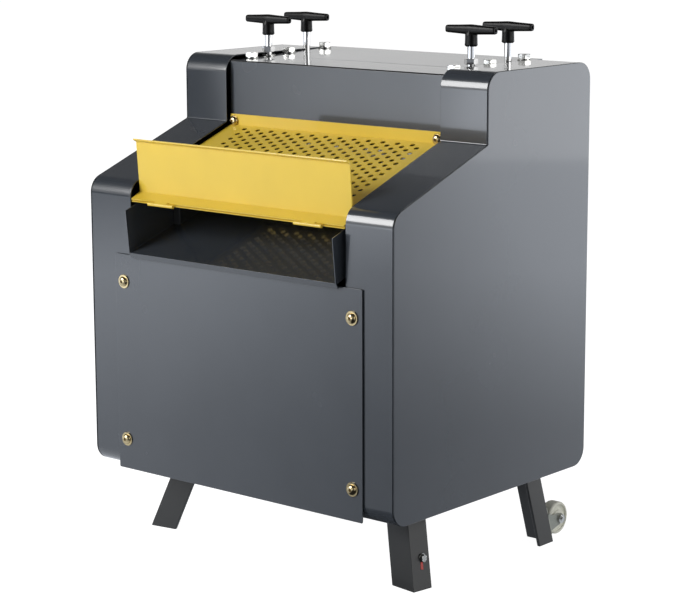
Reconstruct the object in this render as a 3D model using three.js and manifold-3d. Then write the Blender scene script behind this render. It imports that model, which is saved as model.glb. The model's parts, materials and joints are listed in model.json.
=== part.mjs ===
// Cable stripping machine with several feed grooves, standing on four legs. Millimetres, +Z up.
// The origin is on the floor, under the middle of the machine's box.
// -Y is the outlet side with the guard, flap and chute. +X is the belt side, -X the gear side.
import * as THREE from "three";
import { mergeVertices } from "three/addons/utils/BufferGeometryUtils.js";
import Module from "manifold-3d";

const wasm = await Module();
wasm.setup();

// Cabinet
const WIDTH = 560;
const DEPTH = 440;
const HEIGHT = 584;
const HIP_DROP = 170;
const SLOPE_RISE = 73.5;
const UPPER_DEPTH = 240.4;
const CORNER_RADIUS = 25;
const COVER_WIDTH = 81.4;
const COVER_SHEET = 2;
const LEG_HEIGHT = 112;
const GAP = 0.3;
const OVERRUN = 5;
const WELD = 0.5;
const MERGE_DISTANCE = 1e-4;

// Frame and panels
const PLATE_THICKNESS = 20;
const PLATE_INSET = 8;
const TOP_RECESS = 7;
const TOP_THICKNESS = 16;
const TOP_RISE = 6.8;
const TOP_REVEAL = 1.5;
const BASE_THICKNESS = 4;
const BASE_INSET = 2.3;
const PANEL_SHEET = 2.5;
const FRONT_PANEL_SIDE_INSET = 51;
const FRONT_PANEL_DROP = 99.5;
const GUARD_RECESS = 7;
const GUARD_SHEET = 2;
const GUARD_UPSTAND = 16;
const GUARD_STEP_INSET = 20.5;
const GUARD_FRONT_INSET = 0.5;
const GUARD_FRONT_DROP = 22.3;
const GUARD_FLANGE_ANGLE = THREE.MathUtils.degToRad(26);
const GUIDE_THICKNESS = 6;
const GUIDE_SKIRT = 50;

// Feed and cutting shafts: the lower pair lies below the hip, the feed pair in front of the back
const LOWER_SHAFT_DROP = 34;
const FEED_BACKSET = 72;
const SHAFT_PAIR_GAP = 14;
const JOURNAL_RADIUS = 12.5;
const NIP_GAP = 6;
const ROLLER_EXTRA = 1;
const ROLLER_END_GAP = 6;
const UPPER_WHEEL_WIDTH = 22;
const SPACER_RADIUS = 18;
const BLADE_REACH = 1;
const BLADE_THICKNESS = 2.4;
const BLADE_EDGE = 3;
const CABLE_DIAMETERS = [38, 30, 22, 15, 9];
const OUTER_GROOVE_INSET = 48.3;
const GROOVE_DEPTH_SHARE = 0.34;
const GROOVE_WIDTH_SHARE = 1.1;
const GUIDE_COLLAR_WALL = 4;
const GUIDE_COLLAR_LENGTH = 9;

// Gears and belt drive
const MODULE = 4;
const SHAFT_TEETH = 18;
const MAIN_TEETH = 40;
const PINION_TEETH = 12;
const GEAR_WIDTH = 16;
const GEAR_STANDOFF = 18;
const SHAFT_TAIL = 6;
const STUB_TAIL = 9;
const TOOTH_BACKLASH_SHARE = 0.3;
const ADDENDUM_SHARE = 0.9;
const DEDENDUM_SHARE = 1.25;
const PRESSURE_ANGLE = THREE.MathUtils.degToRad(20);
const PINION_DIRECTION = THREE.MathUtils.degToRad(215);
const DRIVEN_PULLEY_RADIUS = 100;
const MOTOR_PULLEY_RADIUS = 25;
const PULLEY_GAP = 16.3;
const PULLEY_WIDTH = 20;
const PULLEY_STANDOFF = 18;
const GROOVE_DEPTH = 9;
const GROOVE_WIDTH = 11;
const BELT_WIDTH = 10;
const BELT_THICKNESS = 6;
const BELT_SEAT = 1.1;
const MOTOR_RADIUS_SHARE = 0.168;
const MOTOR_LENGTH = 235;
const MOTOR_FOOT_HEIGHT = 18;
const MOTOR_FOOT_SHARE = 0.8;
const MOTOR_SHAFT_RADIUS = 9.5;
const MOTOR_HOLE_RADIUS = 19;
const MOTOR_BOX_HALF = 37;
const MOTOR_BOX_PROUD = 18.5;

// Upper bearing blocks and their adjusting screws
const BLOCK_WIDTH = 49.4;
const BLOCK_HEIGHT = 50;
const BLOCK_FLANGE = 3;
const BLOCK_FLANGE_LAP = 4;
const SCREW_RADIUS = 5.3;
const SCREW_SEAT = 4;
const HANDLE_HUB_RISE = 33;
const HANDLE_HEIGHT = 30.3;
const HANDLE_BAR_LENGTH = 84;
const HANDLE_BAR_HEIGHT = 14;
const HANDLE_BAR_WIDTH = 13;
const HANDLE_HUB_RADIUS = 8.8;
const HANDLE_NECK_RADIUS = 7.2;
const NUT_ACROSS_FLATS = 17;
const NUT_HEIGHT = 8;
const NUT_LIFT = 8.5;

// Flap and its hinges
const FLAP_SHEET = 2;
const FLAP_RISE = 1.6;
const FLAP_FRONT_INSET = 0.7;
const FLAP_FACE_GAP = 1.5;
const FLAP_HEIGHT = 73.5;
const FLAP_LEAN = THREE.MathUtils.degToRad(4.5);
const FLAP_LIP = 8;
const FLAP_LIP_ANGLE = THREE.MathUtils.degToRad(27);
const FLAP_SIDE_GAP = 2.1;
const HINGE_INSET = 60.5;
const HINGE_WIDTH = 48;
const HINGE_MIDDLE_WIDTH = 24;
const HINGE_KNUCKLE_RADIUS = 2.6;
const HINGE_PIN_RADIUS = 1.2;
const HINGE_LEAF_SHEET = 1;
const HINGE_LEAF_DEPTH = 13;
const HINGE_REACH = 3;
const HINGE_SWING_RADIUS = 4.3;

// Outlet chute
const CHUTE_SIDE_GAP = 6.6;
const CHUTE_SHEET = 1.6;
const CHUTE_LIP_RISE = 5;
const CHUTE_LIP_REACH = 11.5;
const CHUTE_LIP_DROP = 8;
const CHUTE_LIP_BACK = 4;
const CHUTE_CABLE_DROP = 12.1;
const CHUTE_WALL_REACH = 18;
const CHUTE_WALL_FRONT_DROP = 34;
const CHUTE_WALL_STEP_DROP = 19;
const CHUTE_WALL_DEPTH = 78;
const CHUTE_TONGUE_GAP = 46;

// Legs and casters: each leg's corner lies in from the cabinet's side and end
const LEG_LONG_FLANGE = 44;
const LEG_SHORT_FLANGE = 34;
const LEG_THICKNESS = 5;
const LEG_TURN = THREE.MathUtils.degToRad(8.6);
const FRONT_LEG = { inset: 64.8, endInset: 106.7, spreadShare: 0.317, forwardShare: 0.244, turn: LEG_TURN };
const REAR_LEG = { inset: 48.8, endInset: 46, spreadShare: 0.264, forwardShare: 0, turn: 0 };
const CASTER_SIDE_INSET = 42;
const CASTER_REACH = 31;
const CASTER_HEIGHT = 26;
const CASTER_RADIUS = 24;
const CASTER_HUB_RADIUS = 12;
const CASTER_RECESS = 3.2;
const CASTER_RIM_SHARE = 0.82;
const CASTER_WIDTH = 18;
const CASTER_SHEET = 2.5;
const CASTER_SIDE_GAP = 1.2;
const CASTER_PLATE_WIDTH = 52;
const CASTER_PLATE_HEIGHT = 52;
const CASTER_AXLE_RADIUS = 4;
const CASTER_NUT_RADIUS = 7.5;
const CASTER_NUT_HEIGHT = 6;
const CASTER_EAR_RADIUS = 9;

// Bolts of the front panel
const PANEL_BOLT_SIDE_INSET = 17;
const PANEL_BOLT_TOP_INSET = 39.5;
const PANEL_BOLT_LOW_INSET = 44;
const PANEL_BOLT_RADIUS = 4;
const PANEL_BOLT_HEAD_RADIUS = 7.2;
const PANEL_BOLT_HEAD_HEIGHT = 4.4;
const PANEL_BOLT_WASHER_RADIUS = 10;
const PANEL_BOLT_WASHER_HEIGHT = 1.8;
const PANEL_BOLT_LENGTH = 14;
const PANEL_BOLT_SOCKET_RADIUS = 2.9;
const PANEL_BOLT_SOCKET_DEPTH = 2.6;
const PANEL_BOLT_CROWN_SHARE = 0.62;
const PANEL_BOLT_SHOULDER_SHARE = 0.55;

// Switch box and power inlet on the back
const SWITCH_BOX = { sideInset: 93.6, drop: 140, width: 74, tall: 108, deep: 40, corner: 5 };
const BUTTON_RADIUS = 11;
const BUTTON_SPREAD = 24;
const BUTTON_PROUD = 8;
const BUTTON_RIM = 2;
const BUTTON_BURIED = 6;
const BUTTON_TRAVEL = 3;
const GLAND = { sideInset: 78.6, height: 60, radius: 13, neck: 9.5, bore: 4.5 };
const GLAND_NUT_LENGTH = 9;
const GLAND_SHOULDER = 18;
const GLAND_LENGTH = 24;
const GLAND_MOUTH_WALL = 1.5;

const ROUND_SIDES = 16;
const PULLEY_SIDES = 24;
const SMALL_SIDES = 12;
const CORNER_STEPS = 5;

// Values worked out from the sizes above
const HIP_HEIGHT = HEIGHT - HIP_DROP;
const SLOPE_TOP_HEIGHT = HIP_HEIGHT + SLOPE_RISE;
const UPPER_FRONT_Y = DEPTH / 2 - UPPER_DEPTH;
const INNER_EDGE = WIDTH / 2 - COVER_WIDTH;
const PLATE_OUTER = INNER_EDGE - GAP;
const PLATE_INNER = PLATE_OUTER - PLATE_THICKNESS;
const PLATE_MIDDLE = PLATE_OUTER - PLATE_THICKNESS / 2;
const TOP_SURFACE = HEIGHT - TOP_RECESS;
const TOP_UNDERSIDE = TOP_SURFACE - TOP_THICKNESS;
const SLOPE = (SLOPE_TOP_HEIGHT - HIP_HEIGHT) / (UPPER_FRONT_Y + DEPTH / 2);
const SLOPE_ANGLE = Math.atan(SLOPE);
const UPPER_PANEL_Y = UPPER_FRONT_Y + TOP_RECESS + GUARD_SHEET + GAP;
const TOP_FRONT_Y = UPPER_PANEL_Y + PANEL_SHEET + GAP;
const GUARD_STEP_Y = -DEPTH / 2 + GUARD_STEP_INSET;
const GUARD_FRONT_Y = -DEPTH / 2 + GUARD_FRONT_INSET;
const GUARD_FRONT_HEIGHT = HIP_HEIGHT - GUARD_FRONT_DROP;
const REAR_Y = DEPTH / 2 - PLATE_INSET + GAP;
const FRONT_PANEL_HEIGHT = HIP_HEIGHT - FRONT_PANEL_DROP;
const FRONT_PANEL_HALF_WIDTH = WIDTH / 2 - FRONT_PANEL_SIDE_INSET;
const PANEL_BOLT_X = FRONT_PANEL_HALF_WIDTH - PANEL_BOLT_SIDE_INSET;
const PANEL_BOLT_HEIGHTS = [FRONT_PANEL_HEIGHT - PANEL_BOLT_TOP_INSET, PANEL_BOLT_LOW_INSET];

const PITCH_DISTANCE = MODULE * SHAFT_TEETH;
const LOWER_SHAFT_HEIGHT = HIP_HEIGHT - LOWER_SHAFT_DROP;
const UPPER_SHAFT_HEIGHT = LOWER_SHAFT_HEIGHT + PITCH_DISTANCE;
const FEED_Y = DEPTH / 2 - FEED_BACKSET;
const BLADE_Y = FEED_Y - PITCH_DISTANCE - SHAFT_PAIR_GAP;
const ROLLER_RADIUS = (PITCH_DISTANCE - NIP_GAP) / 2 + ROLLER_EXTRA;
const UPPER_WHEEL_RADIUS = PITCH_DISTANCE - NIP_GAP - ROLLER_RADIUS;
const BLADE_RADIUS = PITCH_DISTANCE - ROLLER_RADIUS + BLADE_REACH;
const RUNNING_RADIUS = JOURNAL_RADIUS + GAP;
const CABLE_HEIGHT = LOWER_SHAFT_HEIGHT + ROLLER_RADIUS + NIP_GAP / 2;
const CABLE_PITCH = (2 * (PLATE_INNER - OUTER_GROOVE_INSET)) / (CABLE_DIAMETERS.length - 1);
const CABLE_PLACES = CABLE_DIAMETERS.map((_, i) => i * CABLE_PITCH - PLATE_INNER + OUTER_GROOVE_INSET);
const GUIDE_LOW = LOWER_SHAFT_HEIGHT - GUIDE_SKIRT;
const BLOCK_LOW = UPPER_SHAFT_HEIGHT - BLOCK_HEIGHT / 2;
const BLOCK_TOP = UPPER_SHAFT_HEIGHT + BLOCK_HEIGHT / 2;
const HANDLE_HUB_LOW = TOP_SURFACE + HANDLE_HUB_RISE;
const HANDLE_TOP = HANDLE_HUB_LOW + HANDLE_HEIGHT;

const MAIN_TO_SHAFT = (MODULE * (MAIN_TEETH + SHAFT_TEETH)) / 2;
const MAIN_TO_PINION = (MODULE * (MAIN_TEETH + PINION_TEETH)) / 2;
const MAIN_Y = (FEED_Y + BLADE_Y) / 2;
const MAIN_HEIGHT = LOWER_SHAFT_HEIGHT - Math.sqrt(MAIN_TO_SHAFT ** 2 - (FEED_Y - MAIN_Y) ** 2);
const PINION_Y = MAIN_Y + MAIN_TO_PINION * Math.cos(PINION_DIRECTION);
const PINION_HEIGHT = MAIN_HEIGHT + MAIN_TO_PINION * Math.sin(PINION_DIRECTION);
const GEAR_X = -(PLATE_OUTER + GEAR_STANDOFF + GEAR_WIDTH / 2);
const PULLEY_X = PLATE_OUTER + PULLEY_STANDOFF + PULLEY_WIDTH / 2;

// The motor stands on the base, far enough in front of the drive shaft for its belt
const MOTOR_RADIUS = DEPTH * MOTOR_RADIUS_SHARE;
const MOTOR_HEIGHT = BASE_THICKNESS + MOTOR_FOOT_HEIGHT + MOTOR_RADIUS;
const BELT_CENTRES = DRIVEN_PULLEY_RADIUS + MOTOR_PULLEY_RADIUS + PULLEY_GAP;
const MOTOR_Y = PINION_Y - Math.sqrt(Math.max(BELT_CENTRES ** 2 - (PINION_HEIGHT - MOTOR_HEIGHT) ** 2, 0));

const FLAP_HALF_WIDTH = INNER_EDGE - FLAP_SIDE_GAP;
const HINGE_X = FLAP_HALF_WIDTH - HINGE_INSET;
const LEAF_MIDDLE = GAP + HINGE_LEAF_SHEET / 2;
const [PIVOT_Y, PIVOT_HEIGHT] = flangePoint(-HINGE_REACH, LEAF_MIDDLE);
const CHUTE_HALF_WIDTH = INNER_EDGE - CHUTE_SIDE_GAP;
const CHUTE_LIP_HEIGHT = FRONT_PANEL_HEIGHT + CHUTE_LIP_RISE;
const CHUTE_LIP_Y = -DEPTH / 2 - CHUTE_LIP_REACH;
const CHUTE_WALL_FRONT_Y = -DEPTH / 2 - CHUTE_WALL_REACH;
const CHUTE_WALL_STEP_Y = GUARD_STEP_Y + GUARD_SHEET + GAP;
const CHUTE_BACK_Y = -DEPTH / 2 + CHUTE_WALL_DEPTH;
const CHUTE_TONGUE_BACK_Y = BLADE_Y - CHUTE_TONGUE_GAP;
const CHUTE_TONGUE_HEIGHT = CABLE_HEIGHT - CHUTE_CABLE_DROP;
const CHUTE_SLOPE = (CHUTE_TONGUE_HEIGHT - CHUTE_LIP_HEIGHT) / (CHUTE_TONGUE_BACK_Y - CHUTE_LIP_Y);

const BOX_FRONT_Y = REAR_Y + PANEL_SHEET + GAP;
const BOX_BACK_Y = BOX_FRONT_Y + SWITCH_BOX.deep;
const BOX_X = INNER_EDGE - SWITCH_BOX.sideInset;
const BOX_HEIGHT = GUIDE_LOW - SWITCH_BOX.drop;
const GLAND_X = -INNER_EDGE + GLAND.sideInset;
const MACHINE_MIDDLE_Y = (BOX_BACK_Y + BUTTON_PROUD + CHUTE_WALL_FRONT_Y) / 2;

// Materials
function finish(color, roughness, metalness) {
  return new THREE.MeshStandardMaterial({ color, roughness, metalness });
}

const greyEnamel = finish(0x5f6369, 0.35, 0.1);
const darkEnamel = finish(0x3a3c40, 0.5, 0.1);
const yellowEnamel = finish(0xe0b93a, 0.4, 0.1);
const blackPlastic = finish(0x1b1b1c, 0.45, 0);
const zincSteel = finish(0xb4b1a6, 0.35, 0.9);
const yellowZinc = finish(0xb39a62, 0.35, 0.9);
const machinedSteel = finish(0x9a9da1, 0.35, 0.9);
const castIron = finish(0x55585c, 0.7, 0.5);
const rubberBlack = finish(0x202020, 0.9, 0);
const casterPlastic = finish(0xddd9c8, 0.5, 0);
const greenPlastic = finish(0x2f8f4a, 0.4, 0);
const redPlastic = finish(0xb3261e, 0.4, 0);
const motorEnamel = finish(0x4a6478, 0.5, 0.1);

// Solids: join and cut
function solidOf(geometry) {
  const bare = geometry.clone();
  bare.deleteAttribute("normal");
  bare.deleteAttribute("uv");
  const merged = mergeVertices(bare, MERGE_DISTANCE);
  const corners = merged.index.array;
  const kept = [];
  for (let i = 0; i < corners.length; i += 3) {
    const [a, b, c] = [corners[i], corners[i + 1], corners[i + 2]];
    if (a !== b && b !== c && c !== a) kept.push(a, b, c);
  }
  const vertProperties = new Float32Array(merged.attributes.position.array);
  return new wasm.Manifold(new wasm.Mesh({ numProp: 3, vertProperties, triVerts: new Uint32Array(kept) }));
}

function geometryOf(solid) {
  const mesh = solid.getMesh();
  const geometry = new THREE.BufferGeometry();
  geometry.setAttribute("position", new THREE.BufferAttribute(new Float32Array(mesh.vertProperties), 3));
  geometry.setIndex(new THREE.BufferAttribute(new Uint32Array(mesh.triVerts), 1));
  geometry.computeVertexNormals();
  return geometry;
}

function join(...solids) {
  return solids.reduce((whole, next) => whole.add(next));
}

function cut(solid, ...tools) {
  return tools.reduce((rest, tool) => rest.subtract(tool), solid);
}

// Basic solids, each placed in the cabinet's frame
function block(x, y, z) {
  const geometry = new THREE.BoxGeometry(x[1] - x[0], y[1] - y[0], z[1] - z[0]);
  geometry.translate((x[0] + x[1]) / 2, (y[0] + y[1]) / 2, (z[0] + z[1]) / 2);
  return solidOf(geometry);
}

const TURN_TO_X = new THREE.Matrix4().set(0, 1, 0, 0, 0, 0, 1, 0, 1, 0, 0, 0, 0, 0, 0, 1);
const TURN_TO_Z = new THREE.Matrix4().set(0, 0, 1, 0, 1, 0, 0, 0, 0, 1, 0, 0, 0, 0, 0, 1);
const EXTRUDE_TO_X = new THREE.Matrix4().set(0, 0, 1, 0, 1, 0, 0, 0, 0, 1, 0, 0, 0, 0, 0, 1);

// A turned piece: profile points are [radius, place along the axis]
function turned(profile, sides, axis, x, y, z, start = 0) {
  const points = profile.map(([radius, along]) => new THREE.Vector2(radius, along));
  const geometry = new THREE.LatheGeometry(points, sides, start);
  if (axis === "x") geometry.applyMatrix4(TURN_TO_X);
  if (axis === "z") geometry.applyMatrix4(TURN_TO_Z);
  geometry.translate(x, y, z);
  const solid = solidOf(geometry);
  return solid.volume() < 0 ? solidOf(flipped(geometry)) : solid;
}

function flipped(geometry) {
  const turnedOver = geometry.clone();
  const index = turnedOver.index.array;
  for (let i = 0; i < index.length; i += 3) [index[i], index[i + 1]] = [index[i + 1], index[i]];
  return turnedOver;
}

function rod(axis, radius, from, to, x, y, z, sides = ROUND_SIDES, start = 0) {
  return turned([[0, from], [radius, from], [radius, to], [0, to]], sides, axis, x, y, z, start);
}

// A side-view outline in (y, z), pushed along X
function sidePrism(points, from, to) {
  const shape = new THREE.Shape(points.map(([u, v]) => new THREE.Vector2(u, v)));
  const geometry = new THREE.ExtrudeGeometry(shape, { depth: to - from, bevelEnabled: false });
  geometry.applyMatrix4(EXTRUDE_TO_X);
  geometry.translate(from, 0, 0);
  return solidOf(geometry);
}

// A plan outline in (x, y), pushed up
function planPrism(points, low, high) {
  const shape = new THREE.Shape(points.map(([u, v]) => new THREE.Vector2(u, v)));
  const geometry = new THREE.ExtrudeGeometry(shape, { depth: high - low, bevelEnabled: false });
  geometry.translate(0, 0, low);
  return solidOf(geometry);
}

// Outlines: corners as {at, radius}, in counter-clockwise order
function roundedOutline(corners) {
  return corners.flatMap((corner, i) => {
    const before = corners[(i + corners.length - 1) % corners.length].at;
    const after = corners[(i + 1) % corners.length].at;
    return roundedCorner(before, corner.at, after, corner.radius);
  });
}

function roundedCorner(before, at, after, radius) {
  if (radius <= 0) return [at];
  const here = new THREE.Vector2(...at);
  const back = new THREE.Vector2(...before).sub(here).normalize();
  const ahead = new THREE.Vector2(...after).sub(here).normalize();
  const half = Math.acos(back.dot(ahead)) / 2;
  const middle = back.clone().add(ahead).normalize().multiplyScalar(radius / Math.sin(half)).add(here);
  const start = here.clone().addScaledVector(back, radius / Math.tan(half)).sub(middle).angle();
  const end = here.clone().addScaledVector(ahead, radius / Math.tan(half)).sub(middle).angle();
  const sweep = Math.atan2(Math.sin(end - start), Math.cos(end - start));
  const steps = Array.from({ length: CORNER_STEPS + 1 }, (_, i) => start + (sweep * i) / CORNER_STEPS);
  return steps.map((angle) => [middle.x + radius * Math.cos(angle), middle.y + radius * Math.sin(angle)]);
}

// Moves each side of a polygon inwards by its own distance
function insetCorners(points, distance) {
  return points.map((point, i) => {
    const before = points[(i + points.length - 1) % points.length];
    const after = points[(i + 1) % points.length];
    return mitre(before, point, after, distance);
  });
}

function mitre(before, point, after, distance) {
  const here = new THREE.Vector2(...point);
  const entry = here.clone().sub(new THREE.Vector2(...before)).normalize();
  const exit = new THREE.Vector2(...after).sub(here).normalize();
  const entryNormal = new THREE.Vector2(-entry.y, entry.x);
  const exitNormal = new THREE.Vector2(-exit.y, exit.x);
  const sum = entryNormal.clone().add(exitNormal);
  const scale = (2 * distance) / sum.lengthSq();
  return [here.x + sum.x * scale, here.y + sum.y * scale];
}

// A folded sheet's section: a path and the same path moved to its left by the thickness
function foldedOutline(path, thickness) {
  const moved = path.map((point, i) => {
    const ahead = path[i + 1];
    const behind = path[i - 1];
    const next = ahead ?? [2 * point[0] - behind[0], 2 * point[1] - behind[1]];
    const previous = behind ?? [2 * point[0] - ahead[0], 2 * point[1] - ahead[1]];
    return mitre(previous, point, next, thickness);
  });
  return [...path, ...moved.reverse()];
}

function counterClockwise(points) {
  const area = THREE.ShapeUtils.area(points.map(([u, v]) => new THREE.Vector2(u, v)));
  return area < 0 ? [...points].reverse() : points;
}

// Height of the slope at depth place y, a given distance below the covers' surface
function slopeHeight(y, below) {
  return SLOPE_TOP_HEIGHT + SLOPE * (y - UPPER_FRONT_Y) - below / Math.cos(SLOPE_ANGLE);
}

// Cabinet covers
const CABINET_CORNERS = [
  [-DEPTH / 2, 0],
  [DEPTH / 2, 0],
  [DEPTH / 2, HEIGHT],
  [UPPER_FRONT_Y, HEIGHT],
  [UPPER_FRONT_Y, SLOPE_TOP_HEIGHT],
  [-DEPTH / 2, HIP_HEIGHT],
];
const CABINET_RADII = [CORNER_RADIUS, CORNER_RADIUS, CORNER_RADIUS, CORNER_RADIUS, 0, CORNER_RADIUS];

function cabinetOutline(inset) {
  const corners = insetCorners(CABINET_CORNERS, inset);
  return roundedOutline(corners.map((at, i) => ({ at, radius: Math.max(CABINET_RADII[i] - inset, 0) })));
}

function sideCover(side) {
  const [outerFrom, outerTo] = side > 0 ? [INNER_EDGE, WIDTH / 2] : [-WIDTH / 2, -INNER_EDGE];
  const pocketFrom = side > 0 ? INNER_EDGE - OVERRUN : outerFrom + COVER_SHEET;
  const pocketTo = side > 0 ? outerTo - COVER_SHEET : -INNER_EDGE + OVERRUN;
  const shell = cut(
    sidePrism(cabinetOutline(0), outerFrom, outerTo),
    sidePrism(cabinetOutline(COVER_SHEET), pocketFrom, pocketTo),
  );
  const x = side * PANEL_BOLT_X;
  const holes = PANEL_BOLT_HEIGHTS.map((height) =>
    rod("y", PANEL_BOLT_RADIUS + GAP, -OVERRUN, OVERRUN, x, -DEPTH / 2, height, SMALL_SIDES),
  );
  return cut(shell, ...holes);
}

// Frame plates: thick side plates with bores for the lower shafts and open slots for the upper blocks
function framePlate(side) {
  const front = -DEPTH / 2 + PLATE_INSET;
  const back = DEPTH / 2 - PLATE_INSET;
  const low = BASE_THICKNESS + GAP;
  const high = TOP_UNDERSIDE - GAP;
  const slopeBelow = GUARD_RECESS + GUARD_SHEET + GAP;
  const upperFront = TOP_FRONT_Y;
  const chuteBack = CHUTE_BACK_Y + GAP;
  const chuteLow = CHUTE_LIP_HEIGHT - CHUTE_LIP_DROP - OVERRUN;
  const outline = [
    [front, low],
    [back, low],
    [back, high],
    [upperFront, high],
    [upperFront, slopeHeight(upperFront, slopeBelow)],
    [chuteBack, slopeHeight(chuteBack, slopeBelow)],
    [chuteBack, chuteLow],
    [front, chuteLow],
  ];
  const [from, to] = side > 0 ? [PLATE_INNER, PLATE_OUTER] : [-PLATE_OUTER, -PLATE_INNER];
  const bore = (radius, y, z) => rod("x", radius, from - OVERRUN, to + OVERRUN, 0, y, z);
  const slot = (y) =>
    block(
      [from - OVERRUN, to + OVERRUN],
      [y - BLOCK_WIDTH / 2 - GAP, y + BLOCK_WIDTH / 2 + GAP],
      [BLOCK_LOW - GAP, high + OVERRUN],
    );
  const plate = cut(
    sidePrism(outline, from, to),
    bore(RUNNING_RADIUS, FEED_Y, LOWER_SHAFT_HEIGHT),
    bore(RUNNING_RADIUS, BLADE_Y, LOWER_SHAFT_HEIGHT),
    bore(RUNNING_RADIUS, PINION_Y, PINION_HEIGHT),
    slot(FEED_Y),
    slot(BLADE_Y),
  );
  return side > 0 ? cut(plate, bore(MOTOR_HOLE_RADIUS, MOTOR_Y, MOTOR_HEIGHT)) : join(plate, mainGearStub());
}

// The main gear's fixed axle stands out of the left frame plate
function mainGearStub() {
  const from = GEAR_X - GEAR_WIDTH / 2 - STUB_TAIL;
  return rod("x", JOURNAL_RADIUS, from, -PLATE_OUTER + WELD, 0, MAIN_Y, MAIN_HEIGHT);
}

// Panels: the top plate's upper face rises towards the back
function topPlate() {
  const back = REAR_Y + GUIDE_THICKNESS;
  const top = TOP_SURFACE + TOP_RISE;
  const section = [
    [TOP_FRONT_Y, TOP_UNDERSIDE],
    [back, TOP_UNDERSIDE],
    [back, top],
    [TOP_FRONT_Y, TOP_SURFACE],
  ];
  const plate = sidePrism(section, -PLATE_OUTER, PLATE_OUTER);
  const holes = [FEED_Y, BLADE_Y].flatMap((y) =>
    [-PLATE_MIDDLE, PLATE_MIDDLE].map((x) =>
      rod("z", SCREW_RADIUS + GAP, TOP_UNDERSIDE - OVERRUN, top + OVERRUN, x, y, 0, SMALL_SIDES),
    ),
  );
  return cut(plate, ...holes);
}

function upperFrontPanel() {
  const low = slopeHeight(UPPER_PANEL_Y + PANEL_SHEET, GUARD_RECESS + GUARD_SHEET) + GAP;
  return block(
    [-PLATE_OUTER, PLATE_OUTER],
    [UPPER_PANEL_Y, UPPER_PANEL_Y + PANEL_SHEET],
    [low, TOP_SURFACE - TOP_REVEAL],
  );
}

function frontAccessPanel() {
  const back = -DEPTH / 2 - GAP;
  const sheet = block(
    [-FRONT_PANEL_HALF_WIDTH, FRONT_PANEL_HALF_WIDTH],
    [back - PANEL_SHEET, back],
    [0, FRONT_PANEL_HEIGHT],
  );
  const holes = PANEL_BOLT_HEIGHTS.flatMap((height) =>
    [-PANEL_BOLT_X, PANEL_BOLT_X].map((x) =>
      rod("y", PANEL_BOLT_RADIUS + GAP, -OVERRUN, OVERRUN, x, back, height, SMALL_SIDES),
    ),
  );
  return cut(sheet, ...holes);
}

function panelBolt(x, height) {
  const face = -DEPTH / 2 - GAP - PANEL_SHEET - GAP;
  const washerTop = -PANEL_BOLT_WASHER_HEIGHT;
  const headTop = washerTop - PANEL_BOLT_HEAD_HEIGHT;
  const shoulder = headTop + PANEL_BOLT_HEAD_HEIGHT * PANEL_BOLT_SHOULDER_SHARE;
  const profile = [
    [0, headTop],
    [PANEL_BOLT_HEAD_RADIUS * PANEL_BOLT_CROWN_SHARE, headTop],
    [PANEL_BOLT_HEAD_RADIUS, shoulder],
    [PANEL_BOLT_HEAD_RADIUS, washerTop],
    [PANEL_BOLT_WASHER_RADIUS, washerTop],
    [PANEL_BOLT_WASHER_RADIUS, 0],
    [PANEL_BOLT_RADIUS, 0],
    [PANEL_BOLT_RADIUS, PANEL_BOLT_LENGTH],
    [0, PANEL_BOLT_LENGTH],
  ];
  const bolt = turned(profile, SMALL_SIDES, "y", x, face, height);
  const bottom = headTop + PANEL_BOLT_SOCKET_DEPTH;
  return cut(bolt, rod("y", PANEL_BOLT_SOCKET_RADIUS, headTop - OVERRUN, bottom, x, face, height, 6));
}

function basePlate() {
  return block(
    [-PLATE_OUTER, PLATE_OUTER],
    [-DEPTH / 2 + BASE_INSET, DEPTH / 2 - BASE_INSET],
    [0, BASE_THICKNESS],
  );
}

// Perforated guard: an upstand on the upper panel, the slope, a step and a front flange for the hinges
function perforatedGuard() {
  const upstandY = UPPER_PANEL_Y - GAP;
  const bendHeight = slopeHeight(upstandY - GUARD_SHEET, GUARD_RECESS);
  const flangeRise = (GUARD_STEP_Y - GUARD_FRONT_Y) * Math.tan(GUARD_FLANGE_ANGLE);
  const path = [
    [upstandY - GUARD_SHEET, bendHeight + GUARD_UPSTAND],
    [upstandY - GUARD_SHEET, bendHeight],
    [GUARD_STEP_Y, slopeHeight(GUARD_STEP_Y, GUARD_RECESS)],
    [GUARD_STEP_Y, GUARD_FRONT_HEIGHT + flangeRise],
    [GUARD_FRONT_Y, GUARD_FRONT_HEIGHT],
  ];
  const section = counterClockwise(foldedOutline(path, GUARD_SHEET));
  return sidePrism(section, -FLAP_HALF_WIDTH, FLAP_HALF_WIDTH);
}

function inletGuidePlate() {
  const back = REAR_Y + GUIDE_THICKNESS;
  const end = back + GUIDE_COLLAR_LENGTH;
  const plate = block([-PLATE_OUTER, PLATE_OUTER], [REAR_Y, back], [GUIDE_LOW, TOP_UNDERSIDE - GAP]);
  const collars = CABLE_DIAMETERS.map((diameter, i) =>
    rod("y", diameter / 2 + GUIDE_COLLAR_WALL, back - WELD, end, CABLE_PLACES[i], 0, CABLE_HEIGHT),
  );
  const holes = CABLE_DIAMETERS.map((diameter, i) =>
    rod("y", diameter / 2, REAR_Y - OVERRUN, end + OVERRUN, CABLE_PLACES[i], 0, CABLE_HEIGHT),
  );
  return cut(join(plate, ...collars), ...holes);
}

function rearPanel() {
  const low = BASE_THICKNESS + GAP;
  const sheet = block([-PLATE_OUTER, PLATE_OUTER], [REAR_Y, REAR_Y + PANEL_SHEET], [low, GUIDE_LOW - GAP]);
  return cut(sheet, rod("y", GLAND.bore, -OVERRUN, OVERRUN, GLAND_X, REAR_Y, GLAND.height, SMALL_SIDES));
}

// Outlet chute: a sloping floor with two side walls, a bent lip and a tongue that reaches in to the blades
function chuteFloorHeight(y) {
  return CHUTE_LIP_HEIGHT + CHUTE_SLOPE * (y - CHUTE_LIP_Y);
}

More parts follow.
